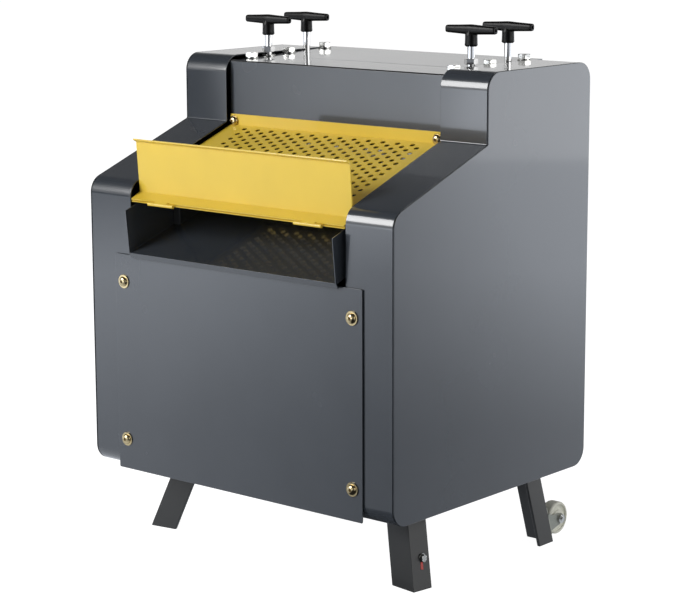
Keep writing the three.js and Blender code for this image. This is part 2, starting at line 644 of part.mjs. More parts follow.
function chuteFloorOutline(backY) {
  const path = [
    [backY, chuteFloorHeight(backY)],
    [CHUTE_LIP_Y, CHUTE_LIP_HEIGHT],
    [CHUTE_LIP_Y + CHUTE_LIP_BACK, CHUTE_LIP_HEIGHT - CHUTE_LIP_DROP],
  ];
  return counterClockwise(foldedOutline(path, CHUTE_SHEET));
}

function chuteWallOutline() {
  const underGuard = GUARD_RECESS + GUARD_SHEET + GAP;
  const wallBack = CHUTE_BACK_Y - GAP;
  return [
    [CHUTE_LIP_Y, CHUTE_LIP_HEIGHT - CHUTE_SHEET],
    [wallBack, chuteFloorHeight(wallBack) - CHUTE_SHEET],
    [wallBack, slopeHeight(wallBack, underGuard)],
    [CHUTE_WALL_STEP_Y, slopeHeight(CHUTE_WALL_STEP_Y, underGuard)],
    [CHUTE_WALL_STEP_Y, HIP_HEIGHT - CHUTE_WALL_STEP_DROP],
    [CHUTE_WALL_FRONT_Y, HIP_HEIGHT - CHUTE_WALL_FRONT_DROP],
  ];
}

function outletChute() {
  const wide = sidePrism(chuteFloorOutline(CHUTE_BACK_Y - GAP), -CHUTE_HALF_WIDTH, CHUTE_HALF_WIDTH);
  const tongueHalf = PLATE_INNER - GAP;
  const tongue = sidePrism(chuteFloorOutline(CHUTE_TONGUE_BACK_Y), -tongueHalf, tongueHalf);
  const rightWall = sidePrism(chuteWallOutline(), CHUTE_HALF_WIDTH - CHUTE_SHEET, CHUTE_HALF_WIDTH);
  const leftWall = sidePrism(chuteWallOutline(), -CHUTE_HALF_WIDTH, -CHUTE_HALF_WIDTH + CHUTE_SHEET);
  return join(wide, tongue, rightWall, leftWall);
}

// A point by the guard's front flange: its distance back from the front edge, and its rise off the flange
function flangePoint(back, rise) {
  const along = Math.cos(GUARD_FLANGE_ANGLE);
  const up = Math.sin(GUARD_FLANGE_ANGLE);
  return [GUARD_FRONT_Y + back * along - rise * up, GUARD_FRONT_HEIGHT + back * up + rise * along];
}

// Flap: a flange over the guard's, an upright sheet and a small lip at its top
function flapPath() {
  const bendY = GUARD_STEP_Y - FLAP_FACE_GAP;
  const [frontY, frontHeight] = flangePoint(FLAP_FRONT_INSET, FLAP_RISE);
  const bend = [bendY, frontHeight + (bendY - frontY) * Math.tan(GUARD_FLANGE_ANGLE)];
  const top = [bend[0] - FLAP_HEIGHT * Math.tan(FLAP_LEAN), bend[1] + FLAP_HEIGHT];
  const lip = [top[0] - FLAP_LIP * Math.cos(FLAP_LIP_ANGLE), top[1] + FLAP_LIP * Math.sin(FLAP_LIP_ANGLE)];
  return [[frontY, frontHeight], bend, top, lip];
}

function outletFlap() {
  const section = counterClockwise(foldedOutline(flapPath(), FLAP_SHEET));
  const sheet = sidePrism(section, -FLAP_HALF_WIDTH, FLAP_HALF_WIDTH);
  return join(sheet, ...[-HINGE_X, HINGE_X].map(flapKnuckle));
}

// A rod about the flap's pivot axis
function hingeRod(radius, x, half) {
  return rod("x", radius, x - half, x + half, 0, PIVOT_Y, PIVOT_HEIGHT, SMALL_SIDES);
}

// A flat strap beside the guard's front flange, from the pivot back
function hingeStrap(back, low, high, x, half) {
  const outline = [
    flangePoint(-HINGE_REACH, low),
    flangePoint(back, low),
    flangePoint(back, high),
    flangePoint(-HINGE_REACH, high),
  ];
  return sidePrism(counterClockwise(outline), x - half, x + half);
}

function flapKnuckle(x) {
  const half = HINGE_MIDDLE_WIDTH / 2 - GAP;
  const strap = hingeStrap(FLAP_FRONT_INSET + FLAP_SHEET, FLAP_RISE, FLAP_RISE + FLAP_SHEET, x, half);
  const knuckle = join(strap, hingeRod(HINGE_KNUCKLE_RADIUS, x, half));
  return cut(knuckle, hingeRod(HINGE_PIN_RADIUS + GAP, x, HINGE_WIDTH));
}

// Fixed hinge leaf between the two flanges, with its two knuckles and the pin
function hingeLeaf(x) {
  const leaf = hingeStrap(HINGE_LEAF_DEPTH, GAP, GAP + HINGE_LEAF_SHEET, x, HINGE_WIDTH / 2);
  const swing = hingeRod(HINGE_SWING_RADIUS, x, HINGE_MIDDLE_WIDTH / 2);
  const knuckleHalf = (HINGE_WIDTH - HINGE_MIDDLE_WIDTH) / 4;
  const knuckles = [-1, 1].map((side) => {
    const middle = x + side * (HINGE_WIDTH / 2 - knuckleHalf);
    return hingeRod(HINGE_KNUCKLE_RADIUS, middle, knuckleHalf);
  });
  const pin = hingeRod(HINGE_PIN_RADIUS, x, HINGE_WIDTH / 2 - WELD);
  return join(cut(leaf, swing), ...knuckles, pin);
}

// Legs: angle iron that leans outwards, cut level at the floor and under the cabinet, end +1 at the back
function leg(place, side, end) {
  const long = LEG_LONG_FLANGE;
  const short = LEG_SHORT_FLANGE;
  const section = [
    [0, 0],
    [-long, 0],
    [-long, LEG_THICKNESS],
    [-LEG_THICKNESS, LEG_THICKNESS],
    [-LEG_THICKNESS, short],
    [0, short],
  ];
  const [c, s] = [Math.cos(place.turn), Math.sin(place.turn)];
  const seen = section.map(([u, v]) => {
    const x = WIDTH / 2 - place.inset + u * c + v * s;
    const y = DEPTH / 2 - place.endInset + u * s - v * c;
    return [side * x, end * y];
  });
  const low = -LEG_HEIGHT;
  const high = -GAP;
  const shape = new THREE.Shape(counterClockwise(seen).map(([u, v]) => new THREE.Vector2(u, v)));
  const geometry = new THREE.ExtrudeGeometry(shape, { depth: high - low, bevelEnabled: false });
  geometry.translate(0, 0, low);
  const lean = new THREE.Matrix4();
  lean.set(1, 0, -side * place.spreadShare, 0, 0, 1, -end * place.forwardShare, 0, 0, 0, 1, 0, 0, 0, 0, 1);
  geometry.applyMatrix4(lean);
  return solidOf(geometry);
}

// Rear casters: a bracket on the leg's back face holds a wheel just clear of the floor
const CASTER_X = WIDTH / 2 - CASTER_SIDE_INSET;
const CASTER_PLATE_Y = DEPTH / 2 - REAR_LEG.endInset + GAP;
const CASTER_AXLE_Y = CASTER_PLATE_Y + CASTER_REACH;
const CASTER_AXLE_HEIGHT = CASTER_HEIGHT - LEG_HEIGHT;

function casterBracket(side) {
  const x = side * CASTER_X;
  const inner = CASTER_WIDTH / 2 + CASTER_SIDE_GAP;
  const outer = inner + CASTER_SHEET;
  const plateMiddle = CASTER_AXLE_HEIGHT + CASTER_EAR_RADIUS;
  const plate = block(
    [x - CASTER_PLATE_WIDTH / 2, x + CASTER_PLATE_WIDTH / 2],
    [CASTER_PLATE_Y, CASTER_PLATE_Y + CASTER_SHEET],
    [plateMiddle - CASTER_PLATE_HEIGHT / 2, plateMiddle + CASTER_PLATE_HEIGHT / 2],
  );
  const ear = [
    [CASTER_PLATE_Y, plateMiddle - CASTER_PLATE_HEIGHT / 2 + OVERRUN],
    [CASTER_AXLE_Y, CASTER_AXLE_HEIGHT - CASTER_EAR_RADIUS],
    [CASTER_AXLE_Y + CASTER_EAR_RADIUS, CASTER_AXLE_HEIGHT - CASTER_EAR_RADIUS / 2],
    [CASTER_AXLE_Y + CASTER_EAR_RADIUS, CASTER_AXLE_HEIGHT + CASTER_EAR_RADIUS / 2],
    [CASTER_AXLE_Y, CASTER_AXLE_HEIGHT + CASTER_EAR_RADIUS],
    [CASTER_PLATE_Y, plateMiddle + CASTER_PLATE_HEIGHT / 2 - OVERRUN],
  ];
  const ears = [-1, 1].map((hand) => {
    const [from, to] = hand > 0 ? [x + inner, x + outer] : [x - outer, x - inner];
    return sidePrism(ear, from, to);
  });
  const axle = rod(
    "x", CASTER_AXLE_RADIUS, x - outer, x + outer, 0, CASTER_AXLE_Y, CASTER_AXLE_HEIGHT, SMALL_SIDES,
  );
  const nutEnd = outer + CASTER_NUT_HEIGHT;
  const nuts = [
    rod("x", CASTER_NUT_RADIUS, x - nutEnd, x - outer + WELD, 0, CASTER_AXLE_Y, CASTER_AXLE_HEIGHT, 6),
    rod("x", CASTER_NUT_RADIUS, x + outer - WELD, x + nutEnd, 0, CASTER_AXLE_Y, CASTER_AXLE_HEIGHT, 6),
  ];
  return join(plate, ...ears, axle, ...nuts);
}

function casterWheel(side) {
  const half = CASTER_WIDTH / 2;
  const bore = CASTER_AXLE_RADIUS + GAP;
  const rim = CASTER_RADIUS * CASTER_RIM_SHARE;
  const web = half - CASTER_RECESS;
  const tread = CASTER_RADIUS - CASTER_RECESS / 2;
  const profile = [
    [bore, -half],
    [CASTER_HUB_RADIUS, -half],
    [CASTER_HUB_RADIUS + CASTER_RECESS, -web],
    [rim, -web],
    [rim, -half],
    [tread, -half],
    [CASTER_RADIUS, -web],
    [CASTER_RADIUS, web],
    [tread, half],
    [rim, half],
    [rim, web],
    [CASTER_HUB_RADIUS + CASTER_RECESS, web],
    [CASTER_HUB_RADIUS, half],
    [bore, half],
    [bore, -half],
  ];
  return turned(profile, ROUND_SIDES, "x", side * CASTER_X, CASTER_AXLE_Y, CASTER_AXLE_HEIGHT);
}

// Rollers and the blade shaft, turned about X
function groovedBody(radius) {
  const points = [];
  CABLE_DIAMETERS.forEach((diameter, i) => {
    const half = (diameter * GROOVE_WIDTH_SHARE) / 2;
    const bottom = radius - diameter * GROOVE_DEPTH_SHARE;
    const x = CABLE_PLACES[i];
    points.push([radius, x - half], [bottom, x], [radius, x + half]);
  });
  return points;
}

const SHAFT_LEFT = GEAR_X - GEAR_WIDTH / 2 - SHAFT_TAIL;
const SHAFT_RIGHT = PLATE_OUTER + BLOCK_FLANGE;

function shaftAround(bodyPoints, y, height) {
  const bodyEnd = PLATE_INNER - ROLLER_END_GAP;
  const first = bodyPoints[0][0];
  const last = bodyPoints[bodyPoints.length - 1][0];
  const profile = [
    [0, SHAFT_LEFT],
    [JOURNAL_RADIUS, SHAFT_LEFT],
    [JOURNAL_RADIUS, -bodyEnd],
    [first, -bodyEnd],
    ...bodyPoints,
    [last, bodyEnd],
    [JOURNAL_RADIUS, bodyEnd],
    [JOURNAL_RADIUS, SHAFT_RIGHT],
    [0, SHAFT_RIGHT],
  ];
  return turned(profile, ROUND_SIDES, "x", 0, y, height);
}

function lowerRoller(y) {
  return shaftAround(groovedBody(ROLLER_RADIUS), y, LOWER_SHAFT_HEIGHT);
}

function upperFeedRoller() {
  const points = [];
  CABLE_PLACES.forEach((x) => {
    const half = UPPER_WHEEL_WIDTH / 2;
    points.push([SPACER_RADIUS, x - half], [UPPER_WHEEL_RADIUS, x - half]);
    points.push([UPPER_WHEEL_RADIUS, x + half], [SPACER_RADIUS, x + half]);
  });
  return shaftAround(points, FEED_Y, UPPER_SHAFT_HEIGHT);
}

function bladeShaft() {
  const points = [];
  CABLE_PLACES.forEach((x) => {
    const half = BLADE_THICKNESS / 2 + GAP;
    points.push([SPACER_RADIUS, x - half], [JOURNAL_RADIUS, x - half]);
    points.push([JOURNAL_RADIUS, x + half], [SPACER_RADIUS, x + half]);
  });
  return shaftAround(points, BLADE_Y, UPPER_SHAFT_HEIGHT);
}

function cuttingBlade(x) {
  const half = BLADE_THICKNESS / 2;
  const profile = [
    [RUNNING_RADIUS, -half],
    [BLADE_RADIUS - BLADE_EDGE, -half],
    [BLADE_RADIUS, 0],
    [BLADE_RADIUS - BLADE_EDGE, half],
    [RUNNING_RADIUS, half],
    [RUNNING_RADIUS, -half],
  ];
  return turned(profile, ROUND_SIDES, "x", x, BLADE_Y, UPPER_SHAFT_HEIGHT);
}

// Gears: straight-flanked teeth, phase is the angle of one tooth from +Y towards +Z
function gearOutline(teeth, phase) {
  const pitchRadius = (MODULE * teeth) / 2;
  const tip = pitchRadius + ADDENDUM_SHARE * MODULE;
  const root = pitchRadius - DEDENDUM_SHARE * MODULE;
  const halfPitch = (MODULE * (Math.PI / 2 - TOOTH_BACKLASH_SHARE)) / 2;
  const halfTip = halfPitch - (tip - pitchRadius) * Math.tan(PRESSURE_ANGLE);
  const halfRoot = halfPitch + (pitchRadius - root) * Math.tan(PRESSURE_ANGLE);
  const at = (radius, angle) => [radius * Math.cos(angle), radius * Math.sin(angle)];
  return Array.from({ length: teeth }, (_, i) => phase + (2 * Math.PI * i) / teeth).flatMap((angle) => [
    at(root, angle - halfRoot / root),
    at(tip, angle - halfTip / tip),
    at(tip, angle + halfTip / tip),
    at(root, angle + halfRoot / root),
  ]);
}

// The tooth angle of a gear that meshes with another one lying towards the given direction
function meshPhase(teethA, phaseA, direction, teethB) {
  const tooth = (2 * Math.PI) / teethA;
  return direction + Math.PI - ((phaseA - direction + tooth / 2) * teethA) / teethB;
}

function gear(teeth, phase, y, height, boreRadius) {
  const outline = gearOutline(teeth, phase).map(([u, v]) => [u + y, v + height]);
  const blank = sidePrism(outline, GEAR_X - GEAR_WIDTH / 2, GEAR_X + GEAR_WIDTH / 2);
  if (boreRadius === 0) return blank;
  return cut(blank, rod("x", boreRadius, GEAR_X - GEAR_WIDTH, GEAR_X + GEAR_WIDTH, 0, y, height));
}

function directionTo(fromY, fromHeight, toY, toHeight) {
  return Math.atan2(toHeight - fromHeight, toY - fromY);
}

const MAIN_PHASE = 0;
const TO_FEED = directionTo(MAIN_Y, MAIN_HEIGHT, FEED_Y, LOWER_SHAFT_HEIGHT);
const TO_BLADE = directionTo(MAIN_Y, MAIN_HEIGHT, BLADE_Y, LOWER_SHAFT_HEIGHT);
const FEED_PHASE = meshPhase(MAIN_TEETH, MAIN_PHASE, TO_FEED, SHAFT_TEETH);
const CUT_PHASE = meshPhase(MAIN_TEETH, MAIN_PHASE, TO_BLADE, SHAFT_TEETH);
const UPPER_FEED_PHASE = meshPhase(SHAFT_TEETH, FEED_PHASE, Math.PI / 2, SHAFT_TEETH);
const BLADE_PHASE = meshPhase(SHAFT_TEETH, CUT_PHASE, Math.PI / 2, SHAFT_TEETH);
const PINION_PHASE = meshPhase(MAIN_TEETH, MAIN_PHASE, PINION_DIRECTION, PINION_TEETH);

function pinionShaft() {
  const pinion = gear(PINION_TEETH, PINION_PHASE, PINION_Y, PINION_HEIGHT, 0);
  const right = PULLEY_X + PULLEY_WIDTH / 2 + SHAFT_TAIL;
  return join(pinion, rod("x", JOURNAL_RADIUS, SHAFT_LEFT, right, 0, PINION_Y, PINION_HEIGHT));
}

// Pulleys with one groove, and the belt round them
function pulley(radius, boreRadius, y, height) {
  const half = PULLEY_WIDTH / 2;
  const bottom = radius - GROOVE_DEPTH;
  const flank = GROOVE_DEPTH * Math.tan(PRESSURE_ANGLE);
  const profile = [
    [boreRadius, -half],
    [radius, -half],
    [radius, -GROOVE_WIDTH / 2 - flank],
    [bottom, -GROOVE_WIDTH / 2],
    [bottom, GROOVE_WIDTH / 2],
    [radius, GROOVE_WIDTH / 2 + flank],
    [radius, half],
    [boreRadius, half],
    [boreRadius, -half],
  ];
  return turned(profile, PULLEY_SIDES, "x", PULLEY_X, y, height);
}

function motorPulley() {
  const shaftLeft = PLATE_INNER - PULLEY_STANDOFF;
  const right = PULLEY_X + PULLEY_WIDTH / 2;
  const wheel = pulley(MOTOR_PULLEY_RADIUS, MOTOR_SHAFT_RADIUS / 2, MOTOR_Y, MOTOR_HEIGHT);
  return join(wheel, rod("x", MOTOR_SHAFT_RADIUS, shaftLeft, right, 0, MOTOR_Y, MOTOR_HEIGHT, SMALL_SIDES));
}

function beltLoop(lift) {
  const big = DRIVEN_PULLEY_RADIUS + lift;
  const small = MOTOR_PULLEY_RADIUS + lift;
  const away = directionTo(PINION_Y, PINION_HEIGHT, MOTOR_Y, MOTOR_HEIGHT);
  const distance = Math.hypot(MOTOR_Y - PINION_Y, MOTOR_HEIGHT - PINION_HEIGHT);
  const lean = Math.acos((big - small) / distance);
  const arc = (y, z, radius, from, to, steps) =>
    Array.from({ length: steps + 1 }, (_, i) => from + ((to - from) * i) / steps).map((angle) => [
      y + radius * Math.cos(angle),
      z + radius * Math.sin(angle),
    ]);
  return [
    ...arc(PINION_Y, PINION_HEIGHT, big, away + lean, away + 2 * Math.PI - lean, ROUND_SIDES),
    ...arc(MOTOR_Y, MOTOR_HEIGHT, small, away - lean, away + lean, SMALL_SIDES),
  ];
}

function driveBelt() {
  const outer = beltLoop(-BELT_SEAT);
  const inner = beltLoop(-BELT_SEAT - BELT_THICKNESS);
  const [from, to] = [PULLEY_X - BELT_WIDTH / 2, PULLEY_X + BELT_WIDTH / 2];
  return cut(sidePrism(outer, from, to), sidePrism(inner, from - OVERRUN, to + OVERRUN));
}

function motor() {
  const right = PLATE_INNER - PULLEY_STANDOFF - GAP;
  const left = right - MOTOR_LENGTH;
  const bellShare = 0.12;
  const bell = MOTOR_LENGTH * bellShare;
  const bossShare = 0.35;
  const profile = [
    [0, left],
    [MOTOR_RADIUS - bell / 2, left],
    [MOTOR_RADIUS, left + bell],
    [MOTOR_RADIUS, right - bell],
    [MOTOR_RADIUS - bell / 2, right - bell / 2],
    [MOTOR_RADIUS * bossShare, right - bell / 2],
    [MOTOR_RADIUS * bossShare, right],
    [0, right],
  ];
  const body = turned(profile, ROUND_SIDES, "x", 0, MOTOR_Y, MOTOR_HEIGHT);
  const footLow = BASE_THICKNESS + GAP;
  const footHalf = MOTOR_RADIUS * MOTOR_FOOT_SHARE;
  const foot = block(
    [left + bell, right - bell],
    [MOTOR_Y - footHalf, MOTOR_Y + footHalf],
    [footLow, footLow + MOTOR_FOOT_HEIGHT + OVERRUN],
  );
  const middle = (left + right) / 2;
  const terminalBox = block(
    [middle - MOTOR_BOX_HALF, middle + MOTOR_BOX_HALF],
    [MOTOR_Y - MOTOR_RADIUS - MOTOR_BOX_PROUD, MOTOR_Y],
    [MOTOR_HEIGHT - MOTOR_BOX_HALF, MOTOR_HEIGHT + MOTOR_BOX_HALF],
  );
  return join(body, foot, terminalBox);
}

// Upper bearing blocks slide in the frame plates' slots, with flanges on both faces
function bearingBlock(side, y) {
  const [from, to] = side > 0 ? [PLATE_INNER, PLATE_OUTER] : [-PLATE_OUTER, -PLATE_INNER];
  const span = [y - BLOCK_WIDTH / 2, y + BLOCK_WIDTH / 2];
  const lapped = [span[0] - BLOCK_FLANGE_LAP, span[1] + BLOCK_FLANGE_LAP];
  const heights = [BLOCK_LOW, BLOCK_TOP];
  const body = block([from - GAP - WELD, to + GAP + WELD], span, heights);
  const flanges = [
    block([from - GAP - BLOCK_FLANGE, from - GAP], lapped, heights),
    block([to + GAP, to + GAP + BLOCK_FLANGE], lapped, heights),
  ];
  const reach = BLOCK_FLANGE + OVERRUN;
  const bore = rod("x", RUNNING_RADIUS, from - reach, to + reach, 0, y, UPPER_SHAFT_HEIGHT);
  const x = side * PLATE_MIDDLE;
  const seatLow = BLOCK_TOP - SCREW_SEAT;
  const seat = rod("z", SCREW_RADIUS + GAP, seatLow, BLOCK_TOP + OVERRUN, x, y, 0, SMALL_SIDES);
  return cut(join(body, ...flanges), bore, seat);
}

// Adjusting screw: a threaded stem with a T handle
function adjustingScrew(side, y) {
  const x = side * PLATE_MIDDLE;
  const barLow = HANDLE_TOP - HANDLE_BAR_HEIGHT;
  const profile = [
    [0, BLOCK_TOP - SCREW_SEAT + GAP],
    [SCREW_RADIUS, BLOCK_TOP - SCREW_SEAT + GAP],
    [SCREW_RADIUS, HANDLE_HUB_LOW],
    [HANDLE_HUB_RADIUS, HANDLE_HUB_LOW],
    [HANDLE_NECK_RADIUS, barLow + WELD],
    [0, barLow + WELD],
  ];
  const stem = turned(profile, SMALL_SIDES, "z", x, y, 0);
  return join(stem, handleBar(x, y, barLow));
}

function handleBar(x, y, low) {
  const halfLength = HANDLE_BAR_LENGTH / 2;
  const halfHeight = HANDLE_BAR_HEIGHT / 2;
  const endShare = 0.8;
  const profile = [
    [0, -halfLength],
    [halfHeight * endShare, -halfLength],
    [halfHeight, -halfLength + halfHeight * endShare],
    [halfHeight * endShare, 0],
    [halfHeight, halfLength - halfHeight * endShare],
    [halfHeight * endShare, halfLength],
    [0, halfLength],
  ];
  const bar = turned(profile, SMALL_SIDES, "x", x, y, low + halfHeight);
  const centre = block(
    [x - HANDLE_HUB_RADIUS, x + HANDLE_HUB_RADIUS],
    [y - HANDLE_BAR_WIDTH / 2, y + HANDLE_BAR_WIDTH / 2],
    [low, low + HANDLE_BAR_HEIGHT],
  );
  return join(bar, centre);
}

// Lock nut on a blade screw, backed off the top plate so that it clears the covers as it turns
function lockNut(side) {
  const x = side * PLATE_MIDDLE;
  const low = TOP_SURFACE + NUT_LIFT;
  const top = low + NUT_HEIGHT;
  const cornerRadius = NUT_ACROSS_FLATS / 2 / Math.cos(Math.PI / 6);
  const hexagon = rod("z", cornerRadius, low, top, x, BLADE_Y, 0, 6, Math.PI / 6);
  const hole = rod("z", SCREW_RADIUS + GAP, low - OVERRUN, top + OVERRUN, x, BLADE_Y, 0, SMALL_SIDES);
  return cut(hexagon, hole);
}

// Switch box with two push buttons, and the power inlet gland
function switchBox() {
  const half = SWITCH_BOX.width / 2;
  const corners = [
    { at: [BOX_X - half, BOX_FRONT_Y], radius: 0 },
    { at: [BOX_X + half, BOX_FRONT_Y], radius: 0 },
    { at: [BOX_X + half, BOX_BACK_Y], radius: SWITCH_BOX.corner },
    { at: [BOX_X - half, BOX_BACK_Y], radius: SWITCH_BOX.corner },
  ];
  const low = BOX_HEIGHT - SWITCH_BOX.tall / 2;
  const body = planPrism(roundedOutline(corners), low, low + SWITCH_BOX.tall);
  const bottom = BOX_BACK_Y - BUTTON_BURIED - BUTTON_TRAVEL - GAP;
  const wells = [-1, 1].map((end) =>
    rod("y", BUTTON_RADIUS + GAP, bottom, BOX_BACK_Y + OVERRUN, BOX_X, 0, buttonHeight(end)),
  );
  return cut(body, ...wells);
}

function buttonHeight(end) {
  return BOX_HEIGHT + end * BUTTON_SPREAD;
}

function pushButton(end) {
  const profile = [
    [0, BOX_BACK_Y - BUTTON_BURIED],
    [BUTTON_RADIUS, BOX_BACK_Y - BUTTON_BURIED],
    [BUTTON_RADIUS, BOX_BACK_Y + BUTTON_PROUD - BUTTON_RIM],
    [BUTTON_RADIUS - BUTTON_RIM, BOX_BACK_Y + BUTTON_PROUD],
    [0, BOX_BACK_Y + BUTTON_PROUD],
  ];
  return turned(profile, ROUND_SIDES, "y", BOX_X, 0, buttonHeight(end));
}

function powerInletGland() {
  const end = BOX_FRONT_Y + GLAND_LENGTH;
  const nutEnd = BOX_FRONT_Y + GLAND_NUT_LENGTH;
  const base = rod("y", GLAND.radius, BOX_FRONT_Y, nutEnd, GLAND_X, 0, GLAND.height, 6);
  const profile = [
    [0, BOX_FRONT_Y],
    [GLAND.neck, BOX_FRONT_Y],
    [GLAND.neck, BOX_FRONT_Y + GLAND_SHOULDER],
    [GLAND.bore + GLAND_MOUTH_WALL, end],
    [0, end],
  ];
  const dome = turned(profile, SMALL_SIDES, "y", GLAND_X, 0, GLAND.height);
  const from = BOX_FRONT_Y - OVERRUN;
  const bore = rod("y", GLAND.bore, from, end + OVERRUN, GLAND_X, 0, GLAND.height, SMALL_SIDES);
  return cut(join(base, dome), bore);
}

// The assembly
const machine = new THREE.Group();
machine.position.y = -MACHINE_MIDDLE_Y;
const cabinet = new THREE.Group();
cabinet.position.z = LEG_HEIGHT;
machine.add(cabinet);

function add(name, solid, material) {
  const mesh = new THREE.Mesh(geometryOf(solid), material);
  mesh.name = name;
  cabinet.add(mesh);
}

const SIDES = [["left", -1], ["right", 1]];

for (const [word, side] of SIDES) {
  add(`${word}_cover`, sideCover(side), greyEnamel);
  add(`${word}_frame_plate`, framePlate(side), castIron);
  add(`front_${word}_leg`, leg(FRONT_LEG, side, -1), darkEnamel);
  add(`rear_${word}_leg`, leg(REAR_LEG, side, 1), darkEnamel);
  add(`${word}_caster_bracket`, casterBracket(side), zincSteel);
  add(`${word}_caster_wheel`, casterWheel(side), casterPlastic);
  add(`${word}_flap_hinge`, hingeLeaf(side * HINGE_X), yellowEnamel);
  add(`${word}_lock_nut`, lockNut(side), zincSteel);
  add(`blade_${word}_bearing_block`, bearingBlock(side, BLADE_Y), machinedSteel);
  add(`feed_${word}_bearing_block`, bearingBlock(side, FEED_Y), machinedSteel);
  add(`blade_${word}_adjusting_screw`, adjustingScrew(side, BLADE_Y), blackPlastic);
  add(`feed_${word}_adjusting_screw`, adjustingScrew(side, FEED_Y), blackPlastic);
  PANEL_BOLT_HEIGHTS.forEach((height, i) => {
    add(`${word}_panel_bolt_${i + 1}`, panelBolt(side * PANEL_BOLT_X, height), yellowZinc);
  });
}

add("top_plate", topPlate(), greyEnamel);
add("upper_front_panel", upperFrontPanel(), greyEnamel);
add("front_access_panel", frontAccessPanel(), greyEnamel);
add("base_plate", basePlate(), greyEnamel);
add("perforated_guard", perforatedGuard(), yellowEnamel);
add("inlet_guide_plate", inletGuidePlate(), greyEnamel);
add("rear_panel", rearPanel(), greyEnamel);
add("outlet_chute", outletChute(), darkEnamel);
add("outlet_flap", outletFlap(), yellowEnamel);

add("lower_feed_roller", lowerRoller(FEED_Y), machinedSteel);
add("lower_cutting_roller", lowerRoller(BLADE_Y), machinedSteel);
add("upper_feed_roller", upperFeedRoller(), machinedSteel);
add("blade_shaft", bladeShaft(), machinedSteel);
CABLE_PLACES.forEach((x, i) => add(`cutting_blade_${i + 1}`, cuttingBlade(x), machinedSteel));

function addGear(name, teeth, phase, y, height) {
  add(name, gear(teeth, phase, y, height, RUNNING_RADIUS), castIron);
}

addGear("main_gear", MAIN_TEETH, MAIN_PHASE, MAIN_Y, MAIN_HEIGHT);
addGear("lower_feed_gear", SHAFT_TEETH, FEED_PHASE, FEED_Y, LOWER_SHAFT_HEIGHT);
addGear("lower_cutting_gear", SHAFT_TEETH, CUT_PHASE, BLADE_Y, LOWER_SHAFT_HEIGHT);
addGear("upper_feed_gear", SHAFT_TEETH, UPPER_FEED_PHASE, FEED_Y, UPPER_SHAFT_HEIGHT);
addGear("blade_shaft_gear", SHAFT_TEETH, BLADE_PHASE, BLADE_Y, UPPER_SHAFT_HEIGHT);
add("pinion_shaft", pinionShaft(), machinedSteel);
add("driven_pulley", pulley(DRIVEN_PULLEY_RADIUS, RUNNING_RADIUS, PINION_Y, PINION_HEIGHT), castIron);
add("motor_pulley", motorPulley(), castIron);
add("drive_belt", driveBelt(), rubberBlack);
add("motor", motor(), motorEnamel);

add("switch_box", switchBox(), blackPlastic);
add("start_button", pushButton(1), greenPlastic);
add("stop_button", pushButton(-1), redPlastic);
add("power_inlet_gland", powerInletGland(), blackPlastic);

export default machine;
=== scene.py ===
# %% [markdown]
# A cable stripping machine: a grey enamelled cabinet on four legs, with a yellow guard and flap over its outlet.
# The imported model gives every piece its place. This lesson adds rounded edges, fasteners and the finishes.
# Loading the model first means that each later piece can be measured against it.

# %% Load the model
import json
import math

import bmesh
import bpy
from mathutils import Matrix, Vector

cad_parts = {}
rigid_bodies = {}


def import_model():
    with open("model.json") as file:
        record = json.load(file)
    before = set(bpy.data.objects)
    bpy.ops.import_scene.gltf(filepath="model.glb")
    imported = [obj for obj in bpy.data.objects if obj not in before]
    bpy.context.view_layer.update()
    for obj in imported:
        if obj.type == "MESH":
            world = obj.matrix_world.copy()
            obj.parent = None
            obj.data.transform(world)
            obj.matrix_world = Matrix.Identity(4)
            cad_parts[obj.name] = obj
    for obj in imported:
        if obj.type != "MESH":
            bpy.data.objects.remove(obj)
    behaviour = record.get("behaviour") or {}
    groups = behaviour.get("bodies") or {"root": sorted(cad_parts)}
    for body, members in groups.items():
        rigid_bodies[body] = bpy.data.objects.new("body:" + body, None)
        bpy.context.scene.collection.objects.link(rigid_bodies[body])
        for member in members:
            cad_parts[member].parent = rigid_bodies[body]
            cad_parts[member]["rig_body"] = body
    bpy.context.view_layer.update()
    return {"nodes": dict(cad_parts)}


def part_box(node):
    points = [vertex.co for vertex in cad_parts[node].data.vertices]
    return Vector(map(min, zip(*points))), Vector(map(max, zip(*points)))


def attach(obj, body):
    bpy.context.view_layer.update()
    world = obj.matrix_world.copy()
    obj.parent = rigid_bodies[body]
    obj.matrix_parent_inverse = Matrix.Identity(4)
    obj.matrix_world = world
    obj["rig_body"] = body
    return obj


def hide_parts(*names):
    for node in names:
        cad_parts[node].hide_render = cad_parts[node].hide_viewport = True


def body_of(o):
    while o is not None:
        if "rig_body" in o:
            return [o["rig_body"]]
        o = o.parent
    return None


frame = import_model()
nodes = frame["nodes"]
print("loaded", len(nodes), "nodes")

# %% [markdown]
# The cabinet was drawn in millimetres from its own middle, at the underside of its covers.
# Reading that point from the covers' boxes keeps every later piece in step with the model.

# %% Cabinet frame and sizes in millimetres
MM = 0.001
LEFT, RIGHT = -1, 1
cover_low, cover_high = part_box("right_cover")
ORIGIN = Vector((0, (cover_low.y + cover_high.y) / 2, cover_low.z))
HALF_WIDTH = cover_high.x / MM
INNER_EDGE = cover_low.x / MM
HALF_DEPTH = (cover_high.y - cover_low.y) / 2 / MM
HEIGHT = (cover_high.z - cover_low.z) / MM
HIP_HEIGHT = HEIGHT - 170
SLOPE_TOP = HIP_HEIGHT + 73.5
UPPER_FRONT = HALF_DEPTH - 240.4
SLOPE_ANGLE = math.atan2(SLOPE_TOP - HIP_HEIGHT, UPPER_FRONT + HALF_DEPTH)


def at(x, y, z):
    """A point given in cabinet millimetres, in the model's metres."""
    return ORIGIN + Vector((x, y, z)) * MM


